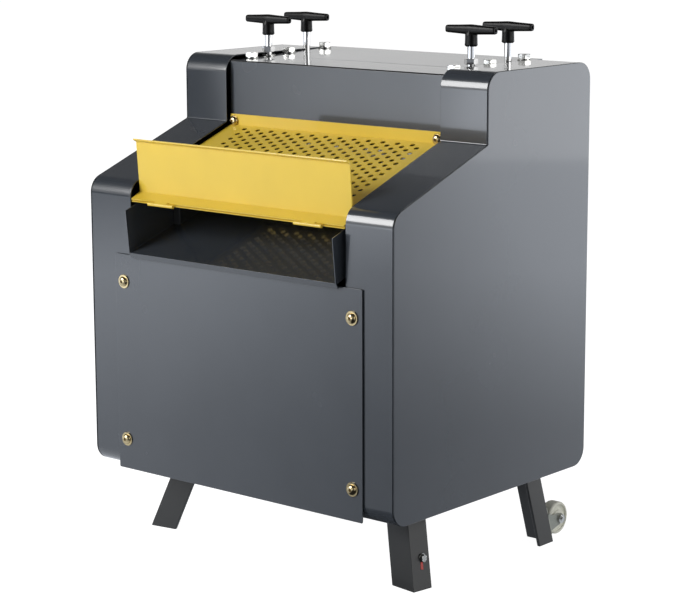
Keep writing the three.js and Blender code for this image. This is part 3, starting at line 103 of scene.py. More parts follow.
def box_mm(node):
    """The lowest and highest corner of a node, in cabinet millimetres."""
    low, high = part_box(node)
    return (low - ORIGIN) / MM, (high - ORIGIN) / MM


def middle_mm(node):
    """The middle of a node's box, in cabinet millimetres."""
    return tuple((a + b) / 2 for a, b in zip(*box_mm(node)))


def add_object(name, data):
    """A new object in the scene."""
    thing = bpy.data.objects.new(name, data)
    bpy.context.scene.collection.objects.link(thing)
    return thing


plate_low, plate_high = box_mm("top_plate")
TOP_SURFACE = HEIGHT - 7


def on_plate(x, y):
    """A place on the top plate, whose upper face rises towards the back."""
    share = (y - plate_low.y) / (plate_high.y - plate_low.y)
    return x, y, TOP_SURFACE + (plate_high.z - TOP_SURFACE) * share


print("cabinet", round(2 * HALF_WIDTH), round(2 * HALF_DEPTH), round(HEIGHT),
      "slope", round(math.degrees(SLOPE_ANGLE), 1))

# %% [markdown]
# The photograph was taken with a long lens, a little above the top of the machine and from its right front corner.
# A camera is placed by turning that aim into three perpendicular directions: right, up and back.

# %% Camera
CAMERA_PLACE = Vector((2.02033, -2.38780, 0.94846))
CAMERA_AZIMUTH = math.radians(40.09)
CAMERA_ELEVATION = math.radians(10.82)
CAMERA_ROLL = math.radians(-0.16)
back = Vector((
    math.sin(CAMERA_AZIMUTH) * math.cos(CAMERA_ELEVATION),
    -math.cos(CAMERA_AZIMUTH) * math.cos(CAMERA_ELEVATION),
    math.sin(CAMERA_ELEVATION),
))
level = Vector((math.cos(CAMERA_AZIMUTH), math.sin(CAMERA_AZIMUTH), 0))
upright = back.cross(level)
across = level * math.cos(CAMERA_ROLL) + upright * math.sin(CAMERA_ROLL)
up = upright * math.cos(CAMERA_ROLL) - level * math.sin(CAMERA_ROLL)
lens = bpy.data.cameras.new("camera")
lens.lens = 113.16
lens.sensor_width = 36
camera = add_object("camera", lens)
camera.matrix_world = Matrix.Translation(CAMERA_PLACE) @ Matrix((across, up, back)).transposed().to_4x4()
bpy.context.scene.camera = camera
print("camera", [round(v, 2) for v in CAMERA_PLACE])

# %% [markdown]
# Every finish below is a small tree of shader nodes. One helper turns a written sRGB colour into the linear value
# that a renderer works in. The others add a node each and give back its result, which keeps the trees short.
# Each finish follows the same recipe: one texture varies colour and gloss, and one raises a fine relief.

# %% Helpers for materials
def linear(hex_colour):
    """A linear RGBA colour from an sRGB hex value."""
    shares = [int(hex_colour[i:i + 2], 16) / 255 for i in (1, 3, 5)]
    curve = [c / 12.92 if c <= 0.04045 else ((c + 0.055) / 1.055) ** 2.4 for c in shares]
    return (*curve, 1)


def add_node(tree, kind, inputs=None, **settings):
    """Adds a node. A value of inputs that is a socket is linked, and any other is set."""
    node = tree.nodes.new(kind)
    for name, value in settings.items():
        setattr(node, name, value)
    for socket, value in (inputs or {}).items():
        if isinstance(value, bpy.types.NodeSocket):
            tree.links.new(value, node.inputs[socket])
        else:
            node.inputs[socket].default_value = value
    return node


def number(tree, operation, *values):
    """The result of a math node on one, two or three numbers."""
    return add_node(tree, "ShaderNodeMath", dict(enumerate(values)), operation=operation).outputs["Value"]


def measure(tree, operation, *vectors):
    """The number that a vector math node makes."""
    return add_node(tree, "ShaderNodeVectorMath", dict(enumerate(vectors)), operation=operation).outputs["Value"]


def ranged(tree, value, start, end, low=0.0, high=1.0, blend="LINEAR"):
    """The value's place between start and end, mapped to low and high."""
    return add_node(tree, "ShaderNodeMapRange", {
        "Value": value, "From Min": start, "From Max": end, "To Min": low, "To Max": high,
    }, interpolation_type=blend).outputs["Result"]


def ramp(tree, value, *stops):
    """A colour from a ramp of (position, colour) stops, in rising order."""
    node = add_node(tree, "ShaderNodeValToRGB", {"Fac": value})
    elements = node.color_ramp.elements
    for i, (position, colour) in enumerate(stops):
        stop = elements[i] if i < 2 else elements.new(position)
        stop.position, stop.color = position, colour
    return node.outputs["Color"]


def noise(tree, place, scale, detail):
    return add_node(tree, "ShaderNodeTexNoise", {"Vector": place, "Scale": scale, "Detail": detail}).outputs["Fac"]


def surface(name, socket_values):
    """A material with one Principled shader, whose constant sockets are set from a table."""
    material = bpy.data.materials.new(name)
    material.use_nodes = True
    tree = material.node_tree
    shader = tree.nodes["Principled BSDF"]
    for socket, value in socket_values.items():
        shader.inputs[socket].default_value = value
    place = add_node(tree, "ShaderNodeTexCoord").outputs["Object"]
    return material, tree, shader, place


def finish(parts, colour, marks, tones, roughness, spread, height, relief, depth=0.1):
    """Ends a material. tones are the (position, shade) stops of its colour, spread how far its roughness varies,
    relief and depth in millimetres how strong its bumps are."""
    material, tree, shader, _ = parts
    base = linear(colour)
    stops = [(position, (*[min(c * shade, 1) for c in base[:3]], 1)) for position, shade in tones]
    bump = add_node(tree, "ShaderNodeBump", {"Strength": relief, "Distance": depth * MM, "Height": height})
    for socket, value in (
            ("Base Color", ramp(tree, marks, *stops)),
            ("Roughness", ranged(tree, marks, 0.0, 1.0, roughness * (1 - spread), roughness * (1 + spread))),
            ("Normal", bump.outputs["Normal"])):
        tree.links.new(value, shader.inputs[socket])
    return material


print("material helpers ready")

# %% [markdown]
# Sheet metal like this is sprayed with enamel and baked. The film flows out almost flat.
# It keeps a faint ripple, which painters call orange peel, and that is what softens its reflections.
# A noise of the ripple's size drives the bump, and a broader one varies colour and gloss.

# %% Baked enamel
def enamel(name, colour, roughness, coat, peel=1.6, relief=0.03):
    """Sprayed and baked enamel. coat is the share of gloss on top, peel the size of the ripple in millimetres."""
    parts = surface(name, {"IOR": 1.5, "Coat Weight": coat, "Coat Roughness": 0.06, "Metallic": 0.0})
    _, tree, _, place = parts
    broad = noise(tree, place, 9.0, 3.0)
    ripple = noise(tree, place, 1 / (peel * MM), 1.0)
    return finish(parts, colour, broad, ((0.3, 0.95), (0.7, 1.05)), roughness, 0.15, ripple, relief, depth=0.2)


GREY_ENAMEL = enamel("graphite_grey_enamel", "#383d44", 0.26, coat=0.9)
LEG_ENAMEL = enamel("leg_grey_enamel", "#1a1d1f", 0.42, coat=0.1)
YELLOW_ENAMEL = enamel("golden_yellow_enamel", "#eccb48", 0.34, coat=0.15, relief=0.04)
DARK_ENAMEL = enamel("dark_inner_enamel", "#33363a", 0.45, coat=0.1)
MOTOR_ENAMEL = enamel("blue_grey_motor_enamel", "#4a6478", 0.5, coat=0.0, peel=3, relief=0.3)
print("enamels ready")

# %% [markdown]
# The bare metals are turned steel and cast iron. Screws are chrome plated, bolts are bright or yellow zinc,
# and the caster brackets are zinc that has gone dull.
# Plating follows the tool marks below it, so a fine streak along the turning breaks up the highlight.
# Cast iron has a skin of sand grains and hardly any streaks.

# %% Metals
def metal(name, colour, roughness, grain, stretch=(1, 1, 1), relief=0.1):
    """A bare or plated metal. grain is the size of its marks in millimetres, stretched by direction."""
    parts = surface(name, {"Metallic": 1.0})
    _, tree, _, place = parts
    turn = add_node(tree, "ShaderNodeMapping", {"Vector": place, "Scale": stretch})
    marks = noise(tree, turn.outputs["Vector"], 1 / (grain * MM), 4.0)
    return finish(parts, colour, marks, ((0.25, 0.8), (0.75, 1.15)), roughness, 0.3, marks, relief)


ZINC = metal("bright_zinc_plate", "#c9c9c6", 0.16, 2.5, (1, 1, 0.15))
YELLOW_ZINC = metal("yellow_passivated_zinc", "#cfbd93", 0.18, 1.2)
CHROME = metal("chrome_plate", "#dcdcdc", 0.07, 2.5, (1, 1, 0.15), relief=0.01)
DULL_ZINC = metal("dull_zinc_plate", "#9a9c94", 0.5, 1.5)
STEEL = metal("turned_steel", "#a9abae", 0.28, 0.8, (4, 0.4, 0.4))
CAST_IRON = metal("sand_cast_iron", "#5b5d60", 0.6, 0.9, relief=0.6)
print("metals ready")

# %% [markdown]
# The handles are phenolic, a hard black plastic pressed in a polished mould, with a low sheen.
# The caster wheels are nylon, which yellows slightly. The belt is moulded rubber. Black strips are painted shade in the
# gaps and grooves, and a seam line on the switch box.
# All are dielectrics, so one function serves: colour, gloss, and a fine moulded grain.

# %% Plastics and rubber
def moulded(name, colour, roughness, grain, relief=0.1, shine=0.5):
    """A moulded plastic or rubber. grain is its surface texture in millimetres, shine its mirror strength."""
    parts = surface(name, {"IOR": 1.5, "Metallic": 0.0, "Specular IOR Level": shine})
    texture = noise(parts[1], parts[3], 1 / (grain * MM), 3.0)
    return finish(parts, colour, texture, ((0.0, 0.88), (1.0, 1.12)), roughness, 0.2, texture, relief)


PHENOLIC = moulded("black_phenolic", "#070707", 0.32, 3.0, relief=0.05, shine=0.2)
NYLON = moulded("ivory_nylon", "#dcdccf", 0.45, 4.0, relief=0.08)
RUBBER = moulded("belt_rubber", "#1c1c1c", 0.8, 1.0, relief=0.4)
# Black for painted shade in the gaps and grooves, and for the switch box's seam line.
BLACK_SEAM_AND_SHADE = moulded("black_seam_and_painted_shade", "#060606", 0.9, 1.5)
BLACK_ABS = moulded("black_abs", "#1a1a1b", 0.5, 0.8, relief=0.3)
GREEN_CAP = moulded("green_button_plastic", "#2f8f4a", 0.35, 3.0)
RED_CAP = moulded("red_button_plastic", "#b3261e", 0.35, 3.0)
print("plastics ready")

# %% [markdown]
# Most pieces already have the right shape in the model, but their edges are perfectly sharp.
# A real sheet or casting has rounded edges, and those edges catch the light.
# So a merged copy of each piece gets a small bevel, and stands for the original.

# %% Helpers for pieces
def new_object(name, mesh, material):
    """An object at the origin with one material and smooth faces."""
    piece = add_object(name, mesh)
    mesh.materials.clear()
    mesh.materials.append(material)
    mesh.shade_smooth()
    return piece


def round_edges(piece, width, angle=28, segments=2):
    """A live bevel on the edges that turn by more than the angle. Weighted normals keep the flats flat."""
    bevel = piece.modifiers.new("edge", "BEVEL")
    bevel.width = width * MM
    bevel.segments = segments
    bevel.limit_method = "ANGLE"
    bevel.angle_limit = math.radians(angle)
    bevel.miter_outer = "MITER_ARC"
    flats = piece.modifiers.new("flats", "WEIGHTED_NORMAL")
    flats.mode = "FACE_AREA"
    flats.weight = 100
    return piece


def settle(piece, node=None, body="frame"):
    """Rides the piece on the body, or on the body of the node that it stands for, and hides that node."""
    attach(piece, body_of(nodes[node])[0] if node else body)
    if node:
        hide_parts(node)


def dress(node, material, width):
    """A merged copy of a node with rounded edges, in the node's place and on its body."""
    shape = bmesh.new()
    shape.from_mesh(nodes[node].data)
    bmesh.ops.remove_doubles(shape, verts=shape.verts, dist=0.02 * MM)
    bmesh.ops.dissolve_limit(shape, angle_limit=math.radians(0.5), verts=shape.verts, edges=shape.edges)
    mesh = bpy.data.meshes.new(node + "_finished")
    shape.to_mesh(mesh)
    shape.free()
    piece = round_edges(new_object(node + "_finished", mesh, material), width)
    settle(piece, node)


def mesh_piece(name, points, faces, material):
    """An object from points in cabinet millimetres and their faces, with the faces turned outwards."""
    mesh = bpy.data.meshes.new(name)
    mesh.from_pydata([at(*p) for p in points], [], faces)
    shape = bmesh.new()
    shape.from_mesh(mesh)
    bmesh.ops.remove_doubles(shape, verts=shape.verts, dist=0.005 * MM)
    bmesh.ops.recalc_face_normals(shape, faces=shape.faces)
    shape.to_mesh(mesh)
    shape.free()
    return new_object(name, mesh, material)


print("piece helpers ready")

# %% [markdown]
# Sheets with one outline all along their length are prisms. Turned pieces repeat one profile round an axis.
# Two builders make these from a short list of points, as a lathe or a press brake would.

# %% Prisms and turned pieces
def prism(name, outline, low, high, axis, material):
    """An outline pushed along an axis. Outline points are the two other coordinates in x, y, z order."""
    place = {"x": lambda u, v, w: (w, u, v), "y": lambda u, v, w: (u, w, v), "z": lambda u, v, w: (u, v, w)}[axis]
    count = len(outline)
    points = [place(u, v, w) for w in (low, high) for u, v in outline]
    faces = [(i, (i + 1) % count, count + (i + 1) % count, count + i) for i in range(count)]
    faces += [tuple(range(count)), tuple(range(count, 2 * count))]
    return mesh_piece(name, points, faces, material)


def ring_faces(rings, sides):
    """The faces between each ring of points and the next."""
    return [(row * sides + i, row * sides + (i + 1) % sides, (row + 1) * sides + (i + 1) % sides,
             (row + 1) * sides + i) for row in range(rings - 1) for i in range(sides)]


def turned(name, profile, axis, centre, material, sides=48, sharp=35):
    """A profile of (radius, place along the axis) turned round the axis through the centre."""
    place = {
        "x": lambda r, w, a: (w, r * math.cos(a), r * math.sin(a)),
        "y": lambda r, w, a: (r * math.cos(a), w, r * math.sin(a)),
        "z": lambda r, w, a: (r * math.cos(a), r * math.sin(a), w),
    }[axis]
    points = []
    for radius, along in profile:
        for i in range(sides):
            u, v, w = place(radius, along, 2 * math.pi * i / sides)
            points.append((u + centre[0], v + centre[1], w + centre[2]))
    faces = ring_faces(len(profile), sides)
    for end in (0, len(profile) - 1):
        if profile[0] != profile[-1] and profile[end][0] > 0:
            faces.append(tuple(end * sides + i for i in range(sides)))
    piece = mesh_piece(name, points, faces, material)
    piece.data.set_sharp_from_angle(angle=math.radians(sharp))
    return piece


def joined(name, pieces):
    """One object from several that share a finish."""
    shape = bmesh.new()
    graph = bpy.context.evaluated_depsgraph_get()
    for piece in pieces:
        finished = bpy.data.meshes.new_from_object(piece.evaluated_get(graph))
        shape.from_mesh(finished)
        bpy.data.meshes.remove(finished)
    material = pieces[0].data.materials[0]
    mesh = bpy.data.meshes.new(name)
    shape.to_mesh(mesh)
    shape.free()
    for piece in pieces:
        bpy.data.objects.remove(piece)
    mesh.materials.append(material)
    return add_object(name, mesh)


print("builders ready")

# %% [markdown]
# Fasteners come in sets, so one Geometry Nodes tree places copies of a finished piece on a list of points.
# The tree takes the piece, the turn of each copy and the finish as named inputs.
# Its result is turned into a plain mesh, because the export leaves instances out.

# %% A tree that repeats a piece
def start_group(name, inputs, result):
    """A Geometry Nodes tree with named inputs and one result, the inputs' keys, and their sockets in the tree."""
    tree = bpy.data.node_groups.new(name, "GeometryNodeTree")
    keys = {title: tree.interface.new_socket(title, in_out="INPUT", socket_type="NodeSocket" + kind).identifier
            for title, kind in inputs.items()}
    tree.interface.new_socket(result, in_out="OUTPUT", socket_type="NodeSocketGeometry")
    return tree, keys, add_node(tree, "NodeGroupInput").outputs


def end_group(tree, geometry, material, result):
    """Paints the geometry and makes it the tree's result."""
    painted = add_node(tree, "GeometryNodeSetMaterial", {"Geometry": geometry, "Material": material})
    add_node(tree, "NodeGroupOutput", {result: painted.outputs["Geometry"]})


def repeat_tree():
    tree, keys, sockets = start_group("repeat_piece", {
        "Places": "Geometry", "Piece": "Object", "Turn": "Vector", "Finish": "Material"}, "Copies")
    piece = add_node(tree, "GeometryNodeObjectInfo", {
        "Object": sockets["Piece"], "As Instance": True}, transform_space="ORIGINAL")
    copies = add_node(tree, "GeometryNodeInstanceOnPoints", {
        "Points": sockets["Places"], "Instance": piece.outputs["Geometry"]})
    turned_copies = add_node(tree, "GeometryNodeRotateInstances", {
        "Instances": copies.outputs["Instances"], "Rotation": sockets["Turn"]})
    plain = add_node(tree, "GeometryNodeRealizeInstances", {"Geometry": turned_copies.outputs["Instances"]})
    end_group(tree, plain.outputs["Geometry"], sockets["Finish"], "Copies")
    return tree, keys


REPEAT, REPEAT_KEYS = repeat_tree()
print("repeat tree with", len(REPEAT.nodes), "nodes")


def evaluated_mesh(carrier, name, material):
    """The plain mesh that an object's modifiers make, as a new object, with the carrier removed."""
    graph = bpy.context.evaluated_depsgraph_get()
    mesh = bpy.data.meshes.new_from_object(carrier.evaluated_get(graph))
    bpy.data.objects.remove(carrier)
    mesh.name = name
    mesh.materials.clear()
    mesh.materials.append(material)
    return add_object(name, mesh)


def repeat(name, pattern, places, turn=(0, 0, 0)):
    """Copies of the pattern piece, whose own place is round the world's origin, at places in cabinet millimetres."""
    mesh = bpy.data.meshes.new(name + "_places")
    mesh.from_pydata([at(*p) for p in places], [], [])
    carrier = add_object(name + "_places", mesh)
    modifier = carrier.modifiers.new("repeat", "NODES")
    modifier.node_group = REPEAT
    modifier[REPEAT_KEYS["Piece"]] = pattern
    modifier[REPEAT_KEYS["Turn"]] = turn
    modifier[REPEAT_KEYS["Finish"]] = pattern.data.materials[0]
    result = evaluated_mesh(carrier, name, pattern.data.materials[0])
    print(name, len(places), "copies", len(result.data.polygons), "faces")
    return result


# %% [markdown]
# Each side cover is a bent band that wraps the cabinet's outline, closed by a flat side sheet.
# A dark line shows between them. The two sheets leave a real groove there, and a black strip at the groove's bottom
# is painted shade that keeps the line dark from every angle.

# %% Outline of the cabinet
CORNER_STEPS = 10
CABINET_CORNERS = [
    ((-HALF_DEPTH, 0), 25), ((HALF_DEPTH, 0), 25), ((HALF_DEPTH, HEIGHT), 25),
    ((UPPER_FRONT, HEIGHT), 25), ((UPPER_FRONT, SLOPE_TOP), 2), ((-HALF_DEPTH, HIP_HEIGHT), 25),
]


def inset_corners(corners, distance):
    """Each side moved inwards by the same distance."""
    moved = []
    for i, ((y, z), radius) in enumerate(corners):
        here = Vector((y, z))
        entry = (here - Vector(corners[i - 1][0])).normalized()
        leave = (Vector(corners[(i + 1) % len(corners)][0]) - here).normalized()
        normals = Vector((-entry.y, entry.x)) + Vector((-leave.y, leave.x))
        convex = entry.x * leave.y - entry.y * leave.x > 0
        moved.append((here + normals * (2 * distance / normals.length_squared),
                      max(radius - distance, 0.2) if convex else radius + distance))
    return moved


def rounded(corners, steps=CORNER_STEPS):
    """The corners' outline with an arc at each corner."""
    points = []
    for i, (here, radius) in enumerate(corners):
        here = Vector(here)
        behind = (Vector(corners[i - 1][0]) - here).normalized()
        ahead = (Vector(corners[(i + 1) % len(corners)][0]) - here).normalized()
        half = math.acos(max(-1, min(1, behind.dot(ahead)))) / 2
        middle = here + (behind + ahead).normalized() * (radius / math.sin(half))
        start = here + behind * (radius / math.tan(half)) - middle
        end = here + ahead * (radius / math.tan(half)) - middle
        sweep = start.angle_signed(end)
        for step in range(steps + 1):
            turn = Matrix.Rotation(-sweep * step / steps, 2)
            points.append(tuple(middle + turn @ start))
    return points


def cabinet_outline(inset):
    return rounded(inset_corners(CABINET_CORNERS, inset))


print("outline points", len(cabinet_outline(0)))

# %% Side covers
COVER_SHEET = 2
SIDE_SHEET = 1.4
SEAM_WIDTH = 1.1
SEAM_DEPTH = 1.5
SEAM_SHADE_HEIGHT = 6


def ring(name, outer, inner, low, high, material):
    """A band between two outlines with equal counts of points, from low to high along X."""
    count = len(outer)
    points = [(x, y, z) for x in (low, high) for outline in (outer, inner) for y, z in outline]
    faces = []
    for i in range(count):
        j = (i + 1) % count
        faces.append((i, j, 2 * count + j, 2 * count + i))
        faces.append((count + i, 3 * count + i, 3 * count + j, count + j))
        faces.append((i, count + i, count + j, j))
        faces.append((2 * count + i, 2 * count + j, 3 * count + j, 3 * count + i))
    return mesh_piece(name, points, faces, material)


def side_cover(side, name):
    """A bent band, a flat side sheet, and a black strip of painted shade between them that also reaches a little way
    into both.
    """
    def span(start, end):
        return sorted((side * start, side * end))

    outer = cabinet_outline(0)
    seam_end = HALF_WIDTH - SIDE_SHEET
    band_end = seam_end - SEAM_WIDTH
    band = ring(name + "_band", outer, cabinet_outline(COVER_SHEET), *span(INNER_EDGE, band_end), GREY_ENAMEL)
    sheet = prism(name + "_sheet", outer, *span(seam_end, HALF_WIDTH), "x", GREY_ENAMEL)
    # The black strip at the bottom of the groove is painted shade.
    seam = ring(name + "_seam", cabinet_outline(SEAM_DEPTH), cabinet_outline(SEAM_DEPTH + SEAM_SHADE_HEIGHT),
                *span(band_end - 1, seam_end + 0.3), BLACK_SEAM_AND_SHADE)
    settle(round_edges(band, 0.7, angle=50), name)
    settle(round_edges(sheet, 1.1, angle=50, segments=4))
    settle(seam)


side_cover(LEFT, "left_cover")
side_cover(RIGHT, "right_cover")
print("covers made")

# %% [markdown]
# The plates, panels, chute, flap and legs keep the model's own shape. One table gives each its finish and edge.
# A cut sheet edge is rounded by less than a millimetre, a rolled angle iron by more.

# %% Dressed pieces
FINISHES = {
    "grey_enamel": GREY_ENAMEL, "dark_enamel": DARK_ENAMEL, "leg_enamel": LEG_ENAMEL, "yellow_enamel": YELLOW_ENAMEL,
    "cast_iron": CAST_IRON, "machined_steel": STEEL, "zinc": ZINC, "black_plastic": BLACK_ABS,
    "belt_rubber": RUBBER, "motor_enamel": MOTOR_ENAMEL, "green_plastic": GREEN_CAP, "red_plastic": RED_CAP,
}
DRESSED = [
    ("grey_enamel", 0.6, "top_plate upper_front_panel base_plate inlet_guide_plate rear_panel outlet_chute"),
    ("leg_enamel", 1.0, "front_left_leg front_right_leg rear_left_leg rear_right_leg"),
    ("yellow_enamel", 0.6, "outlet_flap"),
    ("yellow_enamel", 0.3, "left_flap_hinge right_flap_hinge"),
    ("dark_enamel", 0.8, "left_frame_plate right_frame_plate"),
    ("cast_iron", 1.0, "blade_left_bearing_block blade_right_bearing_block feed_left_bearing_block"),
    ("cast_iron", 1.0, "feed_right_bearing_block driven_pulley motor_pulley"),
    ("machined_steel", 0.4, "lower_feed_roller lower_cutting_roller upper_feed_roller blade_shaft pinion_shaft"),
    ("machined_steel", 0.3, "main_gear lower_feed_gear lower_cutting_gear upper_feed_gear blade_shaft_gear"),
    ("machined_steel", 0.2, "cutting_blade_1 cutting_blade_2 cutting_blade_3 cutting_blade_4 cutting_blade_5"),
    ("belt_rubber", 0.8, "drive_belt"),
    ("motor_enamel", 2.0, "motor"),
    ("black_plastic", 1.5, "switch_box"),
    ("black_plastic", 0.6, "power_inlet_gland"),
    ("green_plastic", 0.6, "start_button"),
    ("red_plastic", 0.6, "stop_button"),
]
for slot, edge, names in DRESSED:
    for node in names.split():
        dress(node, FINISHES[slot], edge)
print("dressed", sum(len(names.split()) for _, _, names in DRESSED), "nodes")

# %% [markdown]
# The front panel is a thin sheet on a black strip of painted shade, which shows as a dark line beside the sheet's edge
# where the gap is in shadow.
# Its four button head bolts are yellow zinc, each on a flat washer, with a hexagon socket.

# %% Front panel
PANEL_SHEET = 1.3
SHADE_STRIP_INSET = 1.0
panel_low, panel_high = box_mm("front_access_panel")


def plate_outline(low, high, inset, radius):
    corners = [((low.x + inset, low.z + inset), radius), ((high.x - inset, low.z + inset), radius),
               ((high.x - inset, high.z - inset), radius), ((low.x + inset, high.z - inset), radius)]
    return rounded(corners, 4)


panel = prism("front_panel_sheet", plate_outline(panel_low, panel_high, 0, 2), panel_low.y,
              panel_low.y + PANEL_SHEET, "y", GREY_ENAMEL)
# A black strip behind the sheet, painted shade for the shadowed gap along its edge.
panel_shade_strip = prism("front_panel_gasket", plate_outline(panel_low, panel_high, SHADE_STRIP_INSET, 2),
               panel_low.y + PANEL_SHEET, panel_high.y, "y", BLACK_SEAM_AND_SHADE)
settle(round_edges(panel, 0.4), "front_access_panel")
settle(panel_shade_strip)
print("front panel", round(panel_high.x - panel_low.x), "x", round(panel_high.z - panel_low.z))

# %% Button head bolts
HEAD_RADIUS = 7.2
HEAD_HEIGHT = 4.2


def button_head(name, washer_radius, material):
    """A button head bolt on a washer, facing -Y, with its washer's back at the world's origin."""
    dome = [(HEAD_RADIUS * math.cos(a), -2 - HEAD_HEIGHT * math.sin(a))
            for a in [math.radians(d) for d in (0, 15, 30, 45, 58, 68)]]
    profile = [(0, 0), (washer_radius - 0.3, 0), (washer_radius, -0.4), (washer_radius, -1.3),
               (washer_radius - 0.4, -1.7), (HEAD_RADIUS, -1.7), *dome, (0, -2 - HEAD_HEIGHT * 0.95)]
    head = turned(name, profile, "y", (0, 0, 0), material, sides=32)
    socket = turned(name + "_socket", [(0, -7.5), (2.5, -7.5), (2.5, -3.6), (0, -3.6)], "y", (0, 0, 0), material, 6)
    cut = head.modifiers.new("socket", "BOOLEAN")
    cut.operation = "DIFFERENCE"
    cut.object = socket
    result = evaluated_mesh(head, name, material)
    bpy.data.objects.remove(socket)
    result.data.transform(Matrix.Translation(-ORIGIN))
    result.data.set_sharp_from_angle(angle=math.radians(32))
    return result


panel_bolt = button_head("panel_bolt", 10, YELLOW_ZINC)
for node in [f"{side}_panel_bolt_{row}" for side in ("left", "right") for row in (1, 2)]:
    bolt_x, _, bolt_z = middle_mm(node)
    bolt = repeat(node + "_finished", panel_bolt, [(bolt_x, panel_low.y, bolt_z)])
    settle(bolt, node)

# %% [markdown]
# The guard is one bent yellow sheet: an upstand bolted to the upper panel, a sloping face, a step and a flange.
# Its face is punched with rows of round holes, each row shifted by half a pitch.
# Geometry Nodes sets a cylinder at every hole and cuts them all from the sheet in one go.

# %% Perforated guard
GUARD_SHEET = 2
GUARD_UPSTAND = 16
FLANGE_DEPTH = 20
FLANGE_ANGLE = math.radians(26)
HOLE_RADIUS = 4.2
HOLE_PITCH = 26.1
ROW_PITCH = 8.0
FIRST_ROW = 10.8
HOLE_ROWS = 23
HOLE_COLUMNS = 13
PATTERN_SHIFT = 3.4
VISIBLE_SHEET = 1.2
guard_low, guard_high = box_mm("perforated_guard")
upstand_front = guard_high.y - GUARD_SHEET
bend_height = guard_high.z - GUARD_UPSTAND
step_y = guard_low.y + FLANGE_DEPTH
flange_height = guard_low.z + GUARD_SHEET * math.cos(FLANGE_ANGLE)


def folded(path, thickness):
    """A folded sheet's section from its outer path, with the sheet on the path's left."""
    moved = []
    for i, point in enumerate(path):
        here = Vector(point)
        entry = (here - Vector(path[i - 1])).normalized() if i else (Vector(path[1]) - here).normalized()
        leave = (Vector(path[i + 1]) - here).normalized() if i + 1 < len(path) else entry
        normals = Vector((-entry.y, entry.x)) + Vector((-leave.y, leave.x))
        moved.append(tuple(here + normals * (2 * thickness / normals.length_squared)))
    return [*path, *moved[::-1]]


guard_path = [(upstand_front, guard_high.z), (upstand_front, bend_height),
              (step_y, bend_height - (upstand_front - step_y) * math.tan(SLOPE_ANGLE)),
              (step_y, flange_height + FLANGE_DEPTH * math.tan(FLANGE_ANGLE)), (guard_low.y, flange_height)]
guard_sheet = prism("guard_sheet", folded(guard_path, VISIBLE_SHEET), guard_low.x, guard_high.x, "x", YELLOW_ENAMEL)


def punch_tree():
    tree, keys, sockets = start_group("punch_rows", {
        "Sheet": "Geometry", "Hole radius": "Float", "Column pitch": "Float", "Row pitch": "Float",
        "Columns": "Int", "Rows": "Int", "First hole": "Vector", "Turn": "Vector", "Finish": "Material"}, "Punched")
    count = number(tree, "MULTIPLY", sockets["Columns"], sockets["Rows"])
    points = add_node(tree, "GeometryNodePoints", {"Count": count, "Radius": 0.001})
    index = add_node(tree, "GeometryNodeInputIndex").outputs["Index"]
    row = number(tree, "FLOOR", number(tree, "DIVIDE", index, sockets["Columns"]))
    column = number(tree, "MODULO", index, sockets["Columns"])
    shifted = number(tree, "MULTIPLY_ADD", number(tree, "MODULO", row, 2.0), 0.5, column)
    spot = add_node(tree, "ShaderNodeCombineXYZ", {
        "X": number(tree, "MULTIPLY", shifted, sockets["Column pitch"]),
        "Y": number(tree, "MULTIPLY", row, sockets["Row pitch"])})
    laid = add_node(tree, "GeometryNodeSetPosition", {
        "Geometry": points.outputs["Points"], "Position": spot.outputs["Vector"]})
    punch = add_node(tree, "GeometryNodeMeshCylinder", {
        "Vertices": 12, "Radius": sockets["Hole radius"], "Depth": 0.02})
    punches = add_node(tree, "GeometryNodeInstanceOnPoints", {
        "Points": laid.outputs["Geometry"], "Instance": punch.outputs["Mesh"]})
    plain = add_node(tree, "GeometryNodeRealizeInstances", {"Geometry": punches.outputs["Instances"]})
    turned_punches = add_node(tree, "GeometryNodeTransform", {
        "Geometry": plain.outputs["Geometry"], "Translation": sockets["First hole"], "Rotation": sockets["Turn"]})
    cut = add_node(tree, "GeometryNodeMeshBoolean", {
        "Mesh 1": sockets["Sheet"], "Mesh 2": turned_punches.outputs["Geometry"]}, operation="DIFFERENCE")
    end_group(tree, cut.outputs["Mesh"], sockets["Finish"], "Punched")
    return tree, keys


PUNCH, PUNCH_KEYS = punch_tree()
along_slope = Vector((0, -math.cos(SLOPE_ANGLE), -math.sin(SLOPE_ANGLE)))
left_hole = PATTERN_SHIFT - (HOLE_COLUMNS - 0.5) * HOLE_PITCH / 2
first_hole = Vector((left_hole, upstand_front, bend_height)) + along_slope * FIRST_ROW
punching = guard_sheet.modifiers.new("punch", "NODES")
punching.node_group = PUNCH
for socket, value in (("Hole radius", HOLE_RADIUS * MM), ("Column pitch", HOLE_PITCH * MM),
                      ("Row pitch", -ROW_PITCH * MM), ("Columns", HOLE_COLUMNS), ("Rows", HOLE_ROWS),
                      ("First hole", at(*first_hole)), ("Turn", (SLOPE_ANGLE, 0, 0)), ("Finish", YELLOW_ENAMEL)):
    punching[PUNCH_KEYS[socket]] = value
guard = evaluated_mesh(guard_sheet, "perforated_guard_finished", YELLOW_ENAMEL)
guard.data.shade_flat()
settle(guard, "perforated_guard")
print("guard", HOLE_ROWS * HOLE_COLUMNS, "holes", len(guard.data.polygons), "faces")

# %% Guard bolts
GUARD_BOLT_INSET = 9.5
guard_bolt = button_head("guard_bolt", 8.2, YELLOW_ZINC)
bolt_height = (guard_high.z + bend_height) / 2 - 2.6
guard_bolts = repeat("guard_bolts", guard_bolt, [
    (side * (INNER_EDGE - GUARD_BOLT_INSET), upstand_front, bolt_height) for side in (LEFT, RIGHT)])
settle(guard_bolts)

# %% [markdown]
# A black strip of painted shade fills the gap where the top plate's front edge lies on the upper panel, where that edge
# is in shadow.

